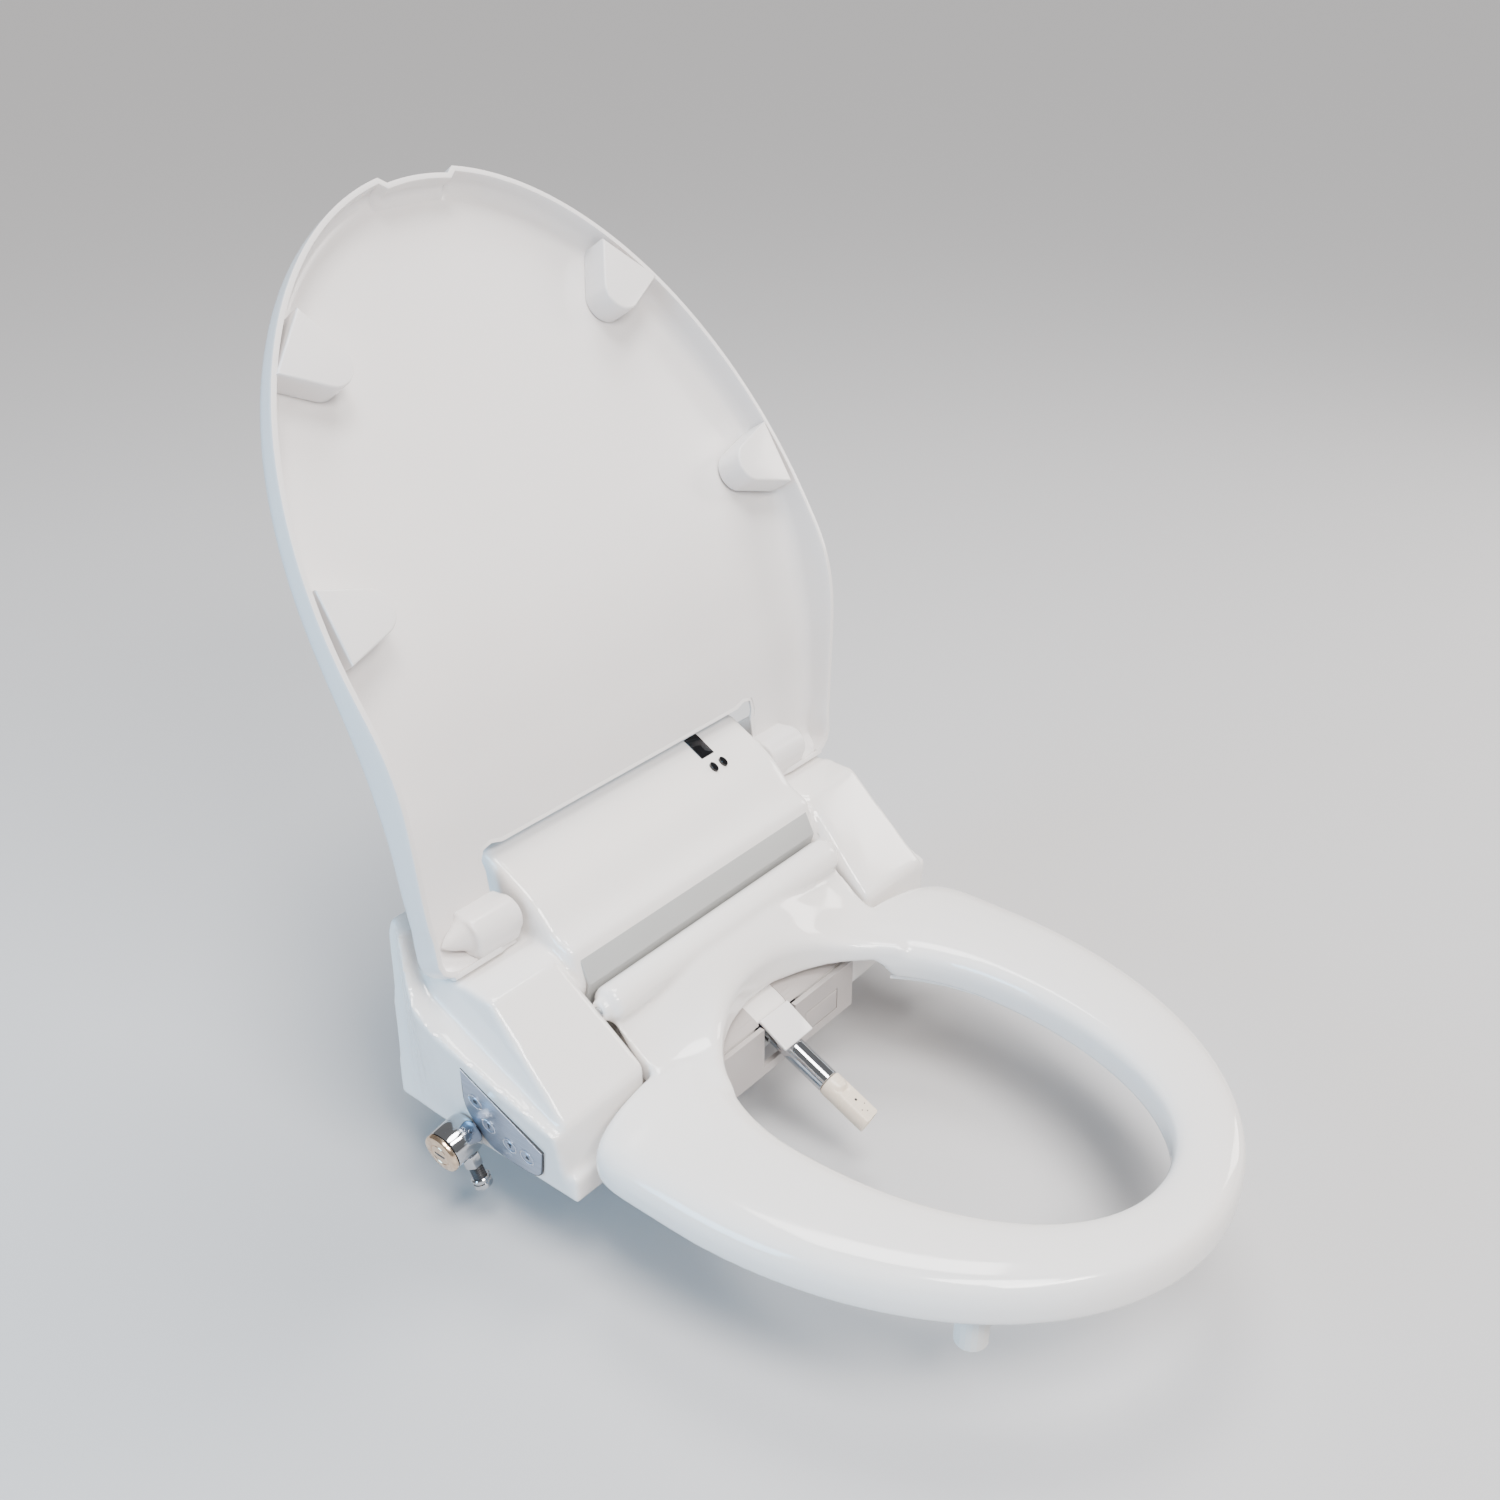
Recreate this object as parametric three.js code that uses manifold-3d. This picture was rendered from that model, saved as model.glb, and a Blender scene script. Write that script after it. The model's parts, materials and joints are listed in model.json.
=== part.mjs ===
// Electric bidet seat: a hinged lid and seat ring on a housing that holds the wash and dry works.
// Millimetres, +Z up. The origin is on the underside, midway between the two mounting bolts.
// The seat points along -Y; the control strip and the water valve are on the -X side.
import * as THREE from 'three';
import { mergeVertices } from 'three/addons/utils/BufferGeometryUtils.js';
import Module from 'manifold-3d';

const wasm = await Module();
wasm.setup();

// Driving dimensions
const gap = 0.3;              // left between pieces that touch
const wall = 3;               // housing wall
const bolt = { spread: 140, radius: 4 };
const base = { half: 188, front: -128, rear: 36, rearRadius: 26, draft: THREE.MathUtils.degToRad(9.5) };
const sideFoot = 190;         // half-width where the drafted side wall meets z = 0
const arm = { inner: 119, outer: 188, ridgeY: -57, ridgeZ: 120.5, frontY: -120.5, frontZ: 63 };
const ledge = { half: 206, frontY: -119, frontZ: 56, rearY: -21, rearZ: 94 };
const consoleHalf = 124;
const crest = { y: 10, z: 170 };
const deckZ = 36;
const lidAxis = { y: -15, z: 137 };
const lidOpen = THREE.MathUtils.degToRad(123);
const lid = { half: 208, wideY: -185, tipY: -461, rimZ: 60, topZ: 84, wall: 3.5 };
const knuckle = { radius: 13.5, inner: 127, outer: 165, bore: 5.4 };
const notch = { half: 132, y: -57.5 };
const seatAxis = { y: -85, z: 88.5 };
const seat = { half: 190, wideY: -201, tipY: -452, rearY: -123, top: 57, bottom: 25, wall: 3.5 };
const hole = { half: 108, rearY: -116, tipY: -411 };
const roll = { radius: 13, half: 112, bore: 4.4 };
const nozzle = { tilt: THREE.MathUtils.degToRad(24), y: -193, z: -7.5, tube: 8.5, tip: 9 };
const pinion = { teeth: 16, radius: 8, x: 21.5, y: 148 };
const blower = { x: 96, y: -14, z: 58, radius: 36 };
const valve = { u: 36, w: 16, radius: 14, length: 27, spigot: 8 };
const button = { radius: 4.2, height: 4 };
const buttonSpots = [[51, 50], [58, 32], [75, 25], [90, 24]];   // along and up the side wall
const lens = { radius: 3, y: -16.5, z: 155.8, slope: THREE.MathUtils.degToRad(28), spread: [70.3, 80.5] };
const display = { left: 68, right: 81.5, front: -8.6, rear: 9.8 };
const deckFront = -134;       // face of the splash wall

// Finishes
const finish = (color, roughness, metalness = 0) =>
  new THREE.MeshStandardMaterial({ color, roughness, metalness });
const gloss = () => finish(0xf4f1ee, 0.18);
const greyPlastic = () => finish(0xb9b8b6, 0.45);
const darkPlastic = () => finish(0x2b2b2e, 0.5);
const blackGlass = () => finish(0x08080a, 0.06);
const steel = () => finish(0xb8bcc2, 0.3, 1);
const chrome = () => finish(0xd9dde2, 0.08, 1);
const brass = () => finish(0xc79a6b, 0.3, 1);
const rubber = () => finish(0xdedcd8, 0.8);
const boardGreen = () => finish(0x1f6b3a, 0.6);
const copper = () => finish(0xb87333, 0.35, 1);

// Solids: three.js shapes, joined and cut as closed meshes
function solidOf(geometry) {
  const bare = geometry.clone();
  bare.deleteAttribute('normal');
  bare.deleteAttribute('uv');
  const merged = mergeVertices(bare, 1e-4);
  const triVerts = new Uint32Array(merged.index.array);
  const vertProperties = new Float32Array(merged.attributes.position.array);
  return new wasm.Manifold(new wasm.Mesh({ numProp: 3, vertProperties, triVerts }));
}

function geometryOf(solid) {
  const mesh = solid.getMesh();
  const geometry = new THREE.BufferGeometry();
  geometry.setAttribute('position', new THREE.BufferAttribute(new Float32Array(mesh.vertProperties), 3));
  geometry.setIndex(new THREE.BufferAttribute(new Uint32Array(mesh.triVerts), 1));
  geometry.computeVertexNormals();
  return geometry;
}

const combine = (method) => (first, ...others) =>
  geometryOf(others.reduce((solid, next) => solid[method](solidOf(next)), solidOf(first)));
const join = combine('add');
const cut = combine('subtract');
const meet = combine('intersect');

const shapeOf = (points) => new THREE.Shape(points.map(([x, y]) => new THREE.Vector2(x, y)));

// A flat outline (x, y) raised from z0 to z1
function slab(points, z0, z1) {
  const geometry = new THREE.ExtrudeGeometry(shapeOf(points), { depth: z1 - z0, bevelEnabled: false });
  return geometry.translate(0, 0, z0);
}

// A side profile (y, z) run across the object from x0 to x1
function across(points, x0, x1) {
  const geometry = new THREE.ExtrudeGeometry(shapeOf(points), { depth: x1 - x0, bevelEnabled: false });
  const turn = new THREE.Matrix4().makeBasis(
    new THREE.Vector3(0, 1, 0),
    new THREE.Vector3(0, 0, 1),
    new THREE.Vector3(1, 0, 0),
  );
  return geometry.applyMatrix4(turn).translate(x0, 0, 0);
}

function block(x0, x1, y0, y1, z0, z1) {
  const geometry = new THREE.BoxGeometry(x1 - x0, y1 - y0, z1 - z0);
  return geometry.translate((x0 + x1) / 2, (y0 + y1) / 2, (z0 + z1) / 2);
}

const turns = {
  x: (geometry) => geometry.rotateZ(-Math.PI / 2),
  y: (geometry) => geometry,
  z: (geometry) => geometry.rotateX(Math.PI / 2),
};

// A round bar along one axis, from low to high, centred on the other two coordinates
function bar(axis, radius, low, high, centre, sides = 20) {
  const geometry = turns[axis](new THREE.CylinderGeometry(radius, radius, high - low, sides));
  const middle = (low + high) / 2;
  const place = { x: [middle, ...centre], y: [centre[0], middle, centre[1]], z: [...centre, middle] }[axis];
  return geometry.translate(...place);
}

// A lathed piece about +Z from [radius, height] points
const turned = (points, sides = 24) =>
  new THREE.LatheGeometry(points.map(([r, z]) => new THREE.Vector2(r, z)), sides).rotateX(Math.PI / 2);

// A bent pipe through a list of points
function pipe(points, radius) {
  const path = new THREE.CatmullRomCurve3(points.map((p) => new THREE.Vector3(...p)));
  const section = new THREE.Shape();
  section.absarc(0, 0, radius, 0, Math.PI * 2);
  return new THREE.ExtrudeGeometry(section, {
    steps: 10, curveSegments: 4, bevelEnabled: false, extrudePath: path,
  });
}

// An outline moved inwards by a distance, corner by corner
function inset(points, distance) {
  const area = THREE.ShapeUtils.area(points.map(([x, y]) => ({ x, y })));
  const side = Math.sign(area) * distance;
  return points.map(([x, y], i) => {
    const before = points.at(i - 1);
    const after = points[(i + 1) % points.length];
    const a = new THREE.Vector2(x - before[0], y - before[1]).normalize();
    const b = new THREE.Vector2(after[0] - x, after[1] - y).normalize();
    const normal = new THREE.Vector2(-a.y - b.y, a.x + b.x).normalize();
    const reach = side / Math.max(0.5, normal.x * -a.y + normal.y * a.x);
    return [x + normal.x * reach, y + normal.y * reach];
  });
}

const mirrored = (points) => [...points, ...points.map(([x, y]) => [-x, y]).reverse()];

// Points on an arc, angles in degrees
function arc(x, y, radius, from, to, steps) {
  return Array.from({ length: steps + 1 }, (_, i) => {
    const angle = THREE.MathUtils.degToRad(from + ((to - from) * i) / steps);
    return [x + radius * Math.cos(angle), y + radius * Math.sin(angle)];
  });
}

// Plan of the housing's tapered rear corners
const rearPlan = mirrored([[207, -140], [207, -22], [204, -4], [196, 12], [186, 26], [172, 39]]);

// Points on a quarter of an oval, from its widest place to its tip
function ovalQuarter(half, wideY, tipY, steps) {
  return Array.from({ length: steps }, (_, i) => {
    const angle = (Math.PI / 2) * (i / steps);
    return [half * Math.cos(angle), wideY + (tipY - wideY) * Math.sin(angle)];
  });
}

const model = new THREE.Group();

// A frame on the drafted left wall: x runs forwards, y up the wall, z out of it
const sideWall = new THREE.Group();
const wallBasis = new THREE.Matrix4().makeBasis(
  new THREE.Vector3(0, -1, 0),
  new THREE.Vector3(-Math.sin(base.draft), 0, Math.cos(base.draft)),
  new THREE.Vector3(-Math.cos(base.draft), 0, -Math.sin(base.draft)),
);
sideWall.setRotationFromMatrix(wallBasis);
sideWall.position.set(-sideFoot, 0, 0);
sideWall.updateMatrix();
const onWall = (geometry) => geometry.applyMatrix4(sideWall.matrix);

// A frame on the wand's axis: y runs back up the wand from the middle of its tip
const wand = new THREE.Group();
wand.position.set(0, nozzle.y, nozzle.z);
wand.rotation.x = nozzle.tilt;
wand.updateMatrix();
const onWand = (geometry) => geometry.applyMatrix4(wand.matrix);

// A place on the sloping front of the console, with z out of it
const onConsole = (geometry, x) => geometry.rotateX(lens.slope).translate(x, lens.y, lens.z);

// Leaf-shaped outline of the control strip
const inlayOutline = [
  [44.6, 76], [38.5, 46], [39.5, 33], [46, 19.5], [54, 9.5], [74, 7], [91, 8], [97, 11], [101, 17],
  [106.5, 38],
];

function add(name, geometry, material, group = model) {
  const mesh = new THREE.Mesh(geometry, material);
  mesh.name = name;
  group.add(mesh);
  return mesh;
}

// Housing outline in plan, with a faceted front corner and a round rear corner
function baseOutline(half, front, rear, radius) {
  return mirrored([
    [half - 14, front],
    [half, front + 9],
    ...arc(half - radius, rear - radius, radius, 0, 90, 5),
  ]);
}

const trayOutline = baseOutline(base.half - 6, base.front + 5, base.rear - 5, base.rearRadius - 4);
const trayTop = 10;

// The same outline leaning out with the draft of the side walls
function draftedPrism(shrink, z0, z1) {
  const rearEdge = base.rear + 2 - shrink;
  const outline = baseOutline(sideFoot - shrink, base.front - 2 + shrink, rearEdge, base.rearRadius);
  const geometry = slab(outline, z0, z1);
  const position = geometry.attributes.position;
  for (let i = 0; i < position.count; i += 1) {
    const lean = 1 + (Math.min(position.getZ(i), 180) * Math.tan(base.draft)) / sideFoot;
    position.setX(i, position.getX(i) * lean);
  }
  return geometry;
}

// Side profiles of the housing, as (y, z)
const armProfile = [
  [-127.5, 3], [-127.5, 22], [-121, 23], [arm.frontY, arm.frontZ], [arm.ridgeY, arm.ridgeZ],
  [-33, 121.5], [-30, 119.5],
  [5, 119.5], [9, 123], [11.5, 143], [32, 143], [base.rear, 132], [base.rear + 1, 3],
];
const ledgeProfile = [
  [-127.5, 3], [-127.5, 22], [-120, 23], [ledge.frontY, ledge.frontZ], [ledge.rearY, ledge.rearZ],
  [-6, 101], [3, 111],
  [8.5, 125], [11.5, 143], [32, 143], [base.rear, 132], [base.rear + 1, 3],
];
const recessFace = [[-63, 120], [-73, 100.5], [-70.2, 90], [-70.2, 69.5]];
const recessBack = recessFace.map(([y, z]) => [y + 2.6, z]).reverse();
const consoleProfile = [
  [-67.3, 3], ...recessBack.map(([y, z]) => [y + gap, z]), [-58, 124], [-52, 128], [-42, 138], [-31, 147.5],
  [-16, 156], [0, 164], [5, 168], [crest.y, crest.z], [17, 168], [25, 158], [34, 132],
  [base.rear + 1, 100], [base.rear + 1, 3],
];
const deckProfile = [
  [base.front, 3], [base.front, deckZ - 3], [-125, deckZ], [-117, deckZ + 4], [-110, deckZ + 7],
  [-98, 58], [-90, 63], [-66, 69], [-66, 3],
];

// Lowers the bottom edge of a profile, so that a cavity cut with it stays open underneath
const opened = (points) => inset(points, wall).map(([y, z]) => [y, z < 8 ? -5 : z]);

function pair(build) {
  return [build(1), build(-1)];
}

function acrossSide(points, inner, outer, side) {
  return side > 0 ? across(points, inner, outer) : across(points, -outer, -inner);
}

function topCover() {
  const outer = join(
    across(consoleProfile, -consoleHalf, consoleHalf),
    across(deckProfile, -arm.inner - 1, arm.inner + 1),
    ...pair((side) => acrossSide(armProfile, arm.inner, arm.outer, side)),
    ...pair((side) => acrossSide(ledgeProfile, arm.outer - 1, ledge.half, side)),
  );
  const inner = join(
    across(opened(consoleProfile), -consoleHalf + wall, consoleHalf - wall),
    across(opened(deckProfile), -arm.inner - 4, arm.inner + 4),
    across([[-90, -5], [-90, 59], [-60, 64], [-60, -5]], -consoleHalf + wall, consoleHalf - wall),
    ...pair((side) => acrossSide(opened(armProfile), arm.inner + wall, arm.outer - wall, side)),
    ...pair((side) => acrossSide(opened(ledgeProfile), arm.outer - wall - 1, ledge.half, side)),
    across([[-55, -5], [-55, 100], [32, 100], [32, -5]], -arm.outer, arm.outer),
  );
  const shell = cut(
    meet(outer, draftedPrism(0, 3, 180), slab(rearPlan, 0, 180)),
    meet(inner, draftedPrism(wall, -5, 180), slab(inset(rearPlan, wall), -10, 180)),
  );
  const hinges = pair((side) => {
    const low = side > 0 ? 118 : -128;
    return bar('x', 5.3, low, low + 10, [lidAxis.y, lidAxis.z]);
  });
  const seatBores = pair((side) => {
    const low = side > 0 ? 115 : -125;
    return bar('x', 4.3, low, low + 10, [seatAxis.y, seatAxis.z]);
  });
  return cut(
    shell,
    ...hinges,
    ...seatBores,
    block(-18, 30, -135, -118, -2, deckZ - 4.5),      // mouth for the nozzle
    block(32, 72, -135, -118, 1, 23),                 // mouth for the dryer
    onWand(bar('y', nozzle.tip + 1, 40, 170, [0, 0], 16)),
    slab(inset(trayOutline, -gap), -1, trayTop + gap),
    bar('y', 8.3, 30, 45, [150, 36]),                 // mains gland hole
    onWall(slab(inset(inlayOutline, -gap), -1.5, 2)), // pocket of the control strip
    ...buttonSpots.map(([u, w]) => onWall(bar('z', button.radius + gap, -8, 2, [u, w]))),
    onWall(bar('z', valve.spigot + gap, -8, 2, [valve.u, valve.w])),
    block(display.left, display.right, display.front, display.rear, 150, 175),
    ...lens.spread.map((x) => onConsole(bar('z', lens.radius + gap, -8, 8, [0, 0], 16), x)),
  );
}

function buildHousing() {
  add('top_cover', topCover(), gloss());

  const trayFloor = slab(trayOutline, 0, 3);
  const trayRim = cut(slab(trayOutline, 3, trayTop), slab(inset(trayOutline, 3), 2, trayTop + 1));
  const plateBoss = block(-109, 109, -29, 29, 2.5, 7.2);
  add('base_tray', cut(
    join(trayFloor, trayRim, plateBoss),
    block(-106, 106, -26, 26, -1, 4.6),                // recess of the mounting plate
    block(-20, 74, -130, -100, -1, trayTop + 1),       // slot under the nozzle and the dryer duct
    ...pair((side) => bar('z', bolt.radius + 2, -2, 12, [(side * bolt.spread) / 2, 0])),
  ), gloss());

  add('recess_panel', across([...recessFace, ...recessBack], -117, 117), greyPlastic());

  add('splash_wall', cut(
    block(-84, 84, deckFront, base.front - 2 - gap, -5, 34),
    block(-17, 17, deckFront - 1, base.front, 2, 36),
    block(29, 66, deckFront - 1, base.front, 2, 20),
  ), finish(0xcfc4bd, 0.3));

  const { left, right, front, rear } = display;
  const glassTop = [[front + gap, 159.2], [0, 163.5], [5, 167.2], [rear - gap, 169]];
  const glassUnder = glassTop.map(([y, z]) => [y, z - 2.4]).reverse();
  add('display_window', across([...glassTop, ...glassUnder], left + gap, right - gap), blackGlass());
  lens.spread.forEach((x, i) => {
    const hand = ['left', 'right'][i];
    add(`sensor_lens_${hand}`, onConsole(bar('z', lens.radius, -3, -0.2, [0, 0], 16), x), blackGlass());
  });
}

// Pieces fixed to the housing that carry the lid and the seat
function buildPivots() {
  for (const side of [1, -1]) {
    const hand = side > 0 ? 'right' : 'left';
    const along = (near, far) => (side > 0 ? [near, far] : [-far, -near]);
    add(`lid_pin_${hand}`, bar('x', 5, ...along(110, 150), [lidAxis.y, lidAxis.z]), steel());
    add(`lid_damper_${hand}`, cut(
      bar('x', 9.5, ...along(88, 120), [lidAxis.y, lidAxis.z]),
      bar('x', 5.3, ...along(109.5, 121), [lidAxis.y, lidAxis.z]),
    ), darkPlastic());
    add(`seat_pin_${hand}`, bar('x', 4, ...along(92, 124), [seatAxis.y, seatAxis.z]), steel());
  }
}

// The plate that the housing clips onto, and what holds it to the bowl
function buildMounting() {
  const x = bolt.spread / 2;
  add('mounting_plate', cut(
    block(-105, 105, -25, 25, 0, 4.2),
    ...pair((side) => bar('z', bolt.radius + gap, -1, 6, [side * x, 0])),
  ), darkPlastic());
  for (const side of [1, -1]) {
    const hand = side > 0 ? 'right' : 'left';
    const centre = [side * x, 0];
    add(`mounting_bolt_${hand}`, join(
      bar('z', bolt.radius, -60, 4.6, centre),
      bar('z', bolt.radius + 1.6, 4.55, 9, centre, 6),
    ), steel());
    const sleeve = turned([[bolt.radius + gap, -40], [14, -40], [14, -32], [7, -24.5],
      [bolt.radius + gap, -24.5],
      [bolt.radius + gap, -40]]);
    add(`bolt_bush_${hand}`, sleeve.translate(side * x, 0, 0), rubber());
    const nut = cut(
      join(bar('z', 9, -52, -40.5, centre, 8), block(side * x - 16, side * x + 16, -2, 2, -52, -44)),
      bar('z', bolt.radius + gap, -55, -38, centre),
    );
    add(`bolt_nut_${hand}`, nut, darkPlastic());
  }
}

// Water in: valve on the side wall, solenoid, heater and the pipe to the wand
function buildWaterWorks() {
  const { u, w, radius, length, spigot } = valve;
  const tail = new THREE.Group();
  tail.position.set(u, w, 9);
  tail.rotation.z = THREE.MathUtils.degToRad(14);
  sideWall.add(tail);
  const body = join(
    bar('z', radius, gap, length - 4, [u, w], 28),
    bar('z', spigot, -6, 1, [u, w], 20),
  );
  add('inlet_valve_body', cut(body, bar('z', radius - 3, length - 8, length, [u, w], 24)), chrome(),
    sideWall);
  add('strainer_cap', cut(
    join(bar('z', radius, length - 3.7, length, [u, w], 28), bar('z', radius - 3.4, length - 7.5,
      length - 3.6, [u, w], 24)),
    block(u - 4.5, u + 4.5, w - 0.8, w + 0.8, length - 1.2, length + 1),
  ), brass(), sideWall);
  const tailShape = join(
    bar('y', 6, -27, -radius - gap, [0, 0], 6),
    bar('y', 4.8, -33, -26, [0, 0], 16),
    bar('y', 6.4, -41, -32, [0, 0], 16),
  );
  add('inlet_tailpiece', cut(tailShape, bar('y', 3.2, -42, -16, [0, 0], 12)), chrome(), tail);

  add('solenoid_valve', join(
    block(-172, -140, -60, -24, 12, 34),
    bar('z', 9, 33.5, 62, [-156, -42], 18),
  ), darkPlastic());
  add('inlet_pipe', pipe([[-139.2, -42, 22], [-130, -42, 22], [-122, -26, 34], [-114, -8, 46],
    [-104.8, -8, 46]], 4),
    finish(0xe8e6e0, 0.6));
  add('water_heater', join(
    block(-104, -40, -34, 28, 12, 74),
    bar('z', 8, 73.5, 84, [-88, 10], 18),
    bar('z', 5, 73.5, 88, [-58, 10], 14),
  ), steel());
}

// The wand: tube, tip and rack slide together along a tilted axis, driven by a pinion
function buildWand() {
  const tipEnd = 19;
  const tubeEnd = 152;
  add('nozzle_tube', cut(
    bar('y', nozzle.tube, tipEnd + gap, tubeEnd, [0, 0], 24),
    bar('y', 3, tubeEnd - 30, tubeEnd + 1, [0, 0], 12),
  ), chrome(), wand);
  const tip = cut(
    bar('y', nozzle.tip, -tipEnd, tipEnd, [0, 0], 24),
    block(-10, 10, -25, 6, 7, 12),
    bar('z', 1, 0, 12, [0, -3], 10),
    bar('y', 7, -tipEnd - 1, -tipEnd + 5, [0, 0], 20),
  );
  add('nozzle_tip', tip, finish(0xe9dccb, 0.35), wand);

  // Rack teeth face +x; the pinion's pitch circle touches the rack's pitch line
  const pitch = (2 * Math.PI * pinion.radius) / pinion.teeth;
  const pitchX = pinion.x - pinion.radius;
  const rackLow = 62;
  const teethLow = Math.ceil((rackLow + 1.5 - pinion.y) / pitch - 0.5);
  const teethHigh = Math.floor((tubeEnd - 1.5 - pinion.y) / pitch - 0.5);
  const rackTeeth = Array.from({ length: teethHigh - teethLow + 1 }, (_, i) => {
    const y = pinion.y + (teethLow + i + 0.5) * pitch;
    return [
      [pitchX - 1.2, y - 0.85], [pitchX + 0.8, y - 0.3], [pitchX + 0.8, y + 0.3], [pitchX - 1.2, y + 0.85],
    ];
  }).flat();
  const rackOutline = [[nozzle.tube + gap, rackLow], [pitchX - 1.2, rackLow], ...rackTeeth,
    [pitchX - 1.2, tubeEnd], [nozzle.tube + gap, tubeEnd]];
  add('nozzle_rack', slab(rackOutline, -2.5, 2.5), darkPlastic(), wand);

  const gearOutline = Array.from({ length: pinion.teeth }, (_, i) => {
    const middle = Math.PI + (i * 2 * Math.PI) / pinion.teeth;
    return [[6.9, -0.95 / 6.9], [8.8, -0.28 / 8.8], [8.8, 0.28 / 8.8], [6.9, 0.95 / 6.9]].map(([r, turn]) => [
      pinion.x + r * Math.cos(middle + turn), pinion.y + r * Math.sin(middle + turn),
    ]);
  }).flat();
  const drive = [pinion.x, pinion.y];
  add('drive_gear', join(slab(gearOutline, -2.5, 2.5), bar('z', 3, -6, -2.4, drive, 12)),
    finish(0xf0ede0, 0.5), wand);
  add('nozzle_motor', bar('z', 13, -24, -6.5, drive, 24), steel(), wand);
  add('nozzle_guide', cut(
    block(-13.5, 12, 68, 132, -13, -3),
    bar('y', nozzle.tip + gap, 60, 150, [0, 0], 24),
  ), finish(0xd8d6d0, 0.6), wand);
}

// Flaps in the splash wall: the shutter that rides over the wand, and the dryer's outlet
function buildFlaps() {
  add('nozzle_shutter', across([[-127.5, 34.6], [-150, 21.9], [-151, 24], [-128.5, 37.4]], -15, 15), gloss());
  add('dryer_flap', block(29.4, 65.6, deckFront, deckFront + 2.4, 2.4, 19.2), finish(0xcfc4bd, 0.3));
}

// Air: blower with its motor, the duct to the flap, and the filter behind it
function buildAirWorks() {
  const { x, y, z, radius } = blower;
  const volute = join(bar('x', radius, x - 20, x + 20, [y, z], 32), block(x - 20, x + 20,
    y - radius - 12, y, z - radius, z - 8));
  add('blower_housing', cut(
    volute,
    bar('x', radius - 3, x - 17, x + 17, [y, z], 32),
    block(x - 17, x + 17, y - radius - 13, y, z - radius + 3, z - 11),
    bar('x', 20, x + 10, x + 21, [y, z], 24),
    bar('x', 4, x - 21, x - 10, [y, z], 12),
  ), darkPlastic());
  const blades = Array.from({ length: 10 }, (_, i) => block(x - 9, x + 9, -1, 1, 12, 26)
    .rotateX((i * Math.PI) / 5).translate(0, y, z));
  add('blower_impeller', join(
    bar('x', 28, x - 12, x - 8.9, [y, z], 24),
    bar('x', 8, x - 9.5, x + 6, [y, z], 16),
    bar('x', 2.5, x - 24, x - 11, [y, z], 10),
    ...blades,
  ), finish(0xe8e6e0, 0.5));
  add('blower_motor', bar('x', 16, x - 46, x - 24.5, [y, z], 24), steel());
  add('dryer_duct', cut(
    across([[-127.5, 1.5], [-127.5, 19.5], [-100, 30], [-66, 46], [-62.5, 46], [-62.5, 24], [-80, 22],
      [-105, 8],
      [-108, 1.5]], 34, 70),
    across([[-129, 3.5], [-129, 17.5], [-100, 27.5], [-66, 43.5], [-61, 43.5], [-61, 26.5], [-80, 24.5],
      [-105, 10.5],
      [-110, 3.5]], 36, 68),
  ), darkPlastic());
  add('deodoriser_filter', block(128, 176, -30, 20, 14, 70), darkPlastic());
}

// Circuit boards and the mains entry
function buildElectrics() {
  add('main_board', join(
    block(-84, 60, -12, 24, 138, 139.6),
    ...[-60, -30, 10, 40].map((x) => block(x - 6, x + 6, 0, 14, 139.5, 146)),
  ), boardGreen());
  add('power_board', join(
    block(-180, -112, 22, 23.6, 46, 98),
    block(-170, -144, 8, 22.2, 60, 84),
    bar('y', 7, 6, 22.2, [-128, 88], 14),
  ), boardGreen());
  add('mains_gland', cut(
    join(bar('y', 8, 30, 44, [150, 36], 16), bar('y', 11, 37.5, 42, [150, 36], 6)),
    bar('y', 4, 28, 46, [150, 36], 12),
  ), rubber());
  add('control_inlay', cut(
    slab(inlayOutline, -1.2, 0),
    ...buttonSpots.map((spot) => bar('z', button.radius + gap, -3, 2, spot)),
  ), finish(0x9fb0c9, 0.3, 0.8), sideWall);
  const names = ['button_stop', 'button_wash', 'button_bidet', 'button_dry'];
  names.forEach((name, i) => {
    add(name, bar('z', button.radius, 0.9 - button.height, 0.9, buttonSpots[i]), finish(0xa9b8ce, 0.3,
      0.8), sideWall);
  });
}

function seatOutline(shrink) {
  const { half, wideY, tipY, rearY } = seat;
  return mirrored([
    ...arc(half - 26, rearY - 22, 22 - shrink, 90, 15, 4),
    [half - shrink - 1.5, rearY - 40],
    ...ovalQuarter(half - shrink, wideY, tipY + shrink, 18),
    [12, tipY + shrink],
  ]);
}

// The seat's opening, an oval with its widest place behind its middle
function holeOutline(grow) {
  const { half, rearY, tipY } = hole;
  const wideY = -239;
  return mirrored([
    ...ovalQuarter(half + grow, wideY, rearY + grow, 10).reverse(),
    ...ovalQuarter(half + grow, wideY, tipY - grow, 14).slice(1),
  ]);
}

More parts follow.
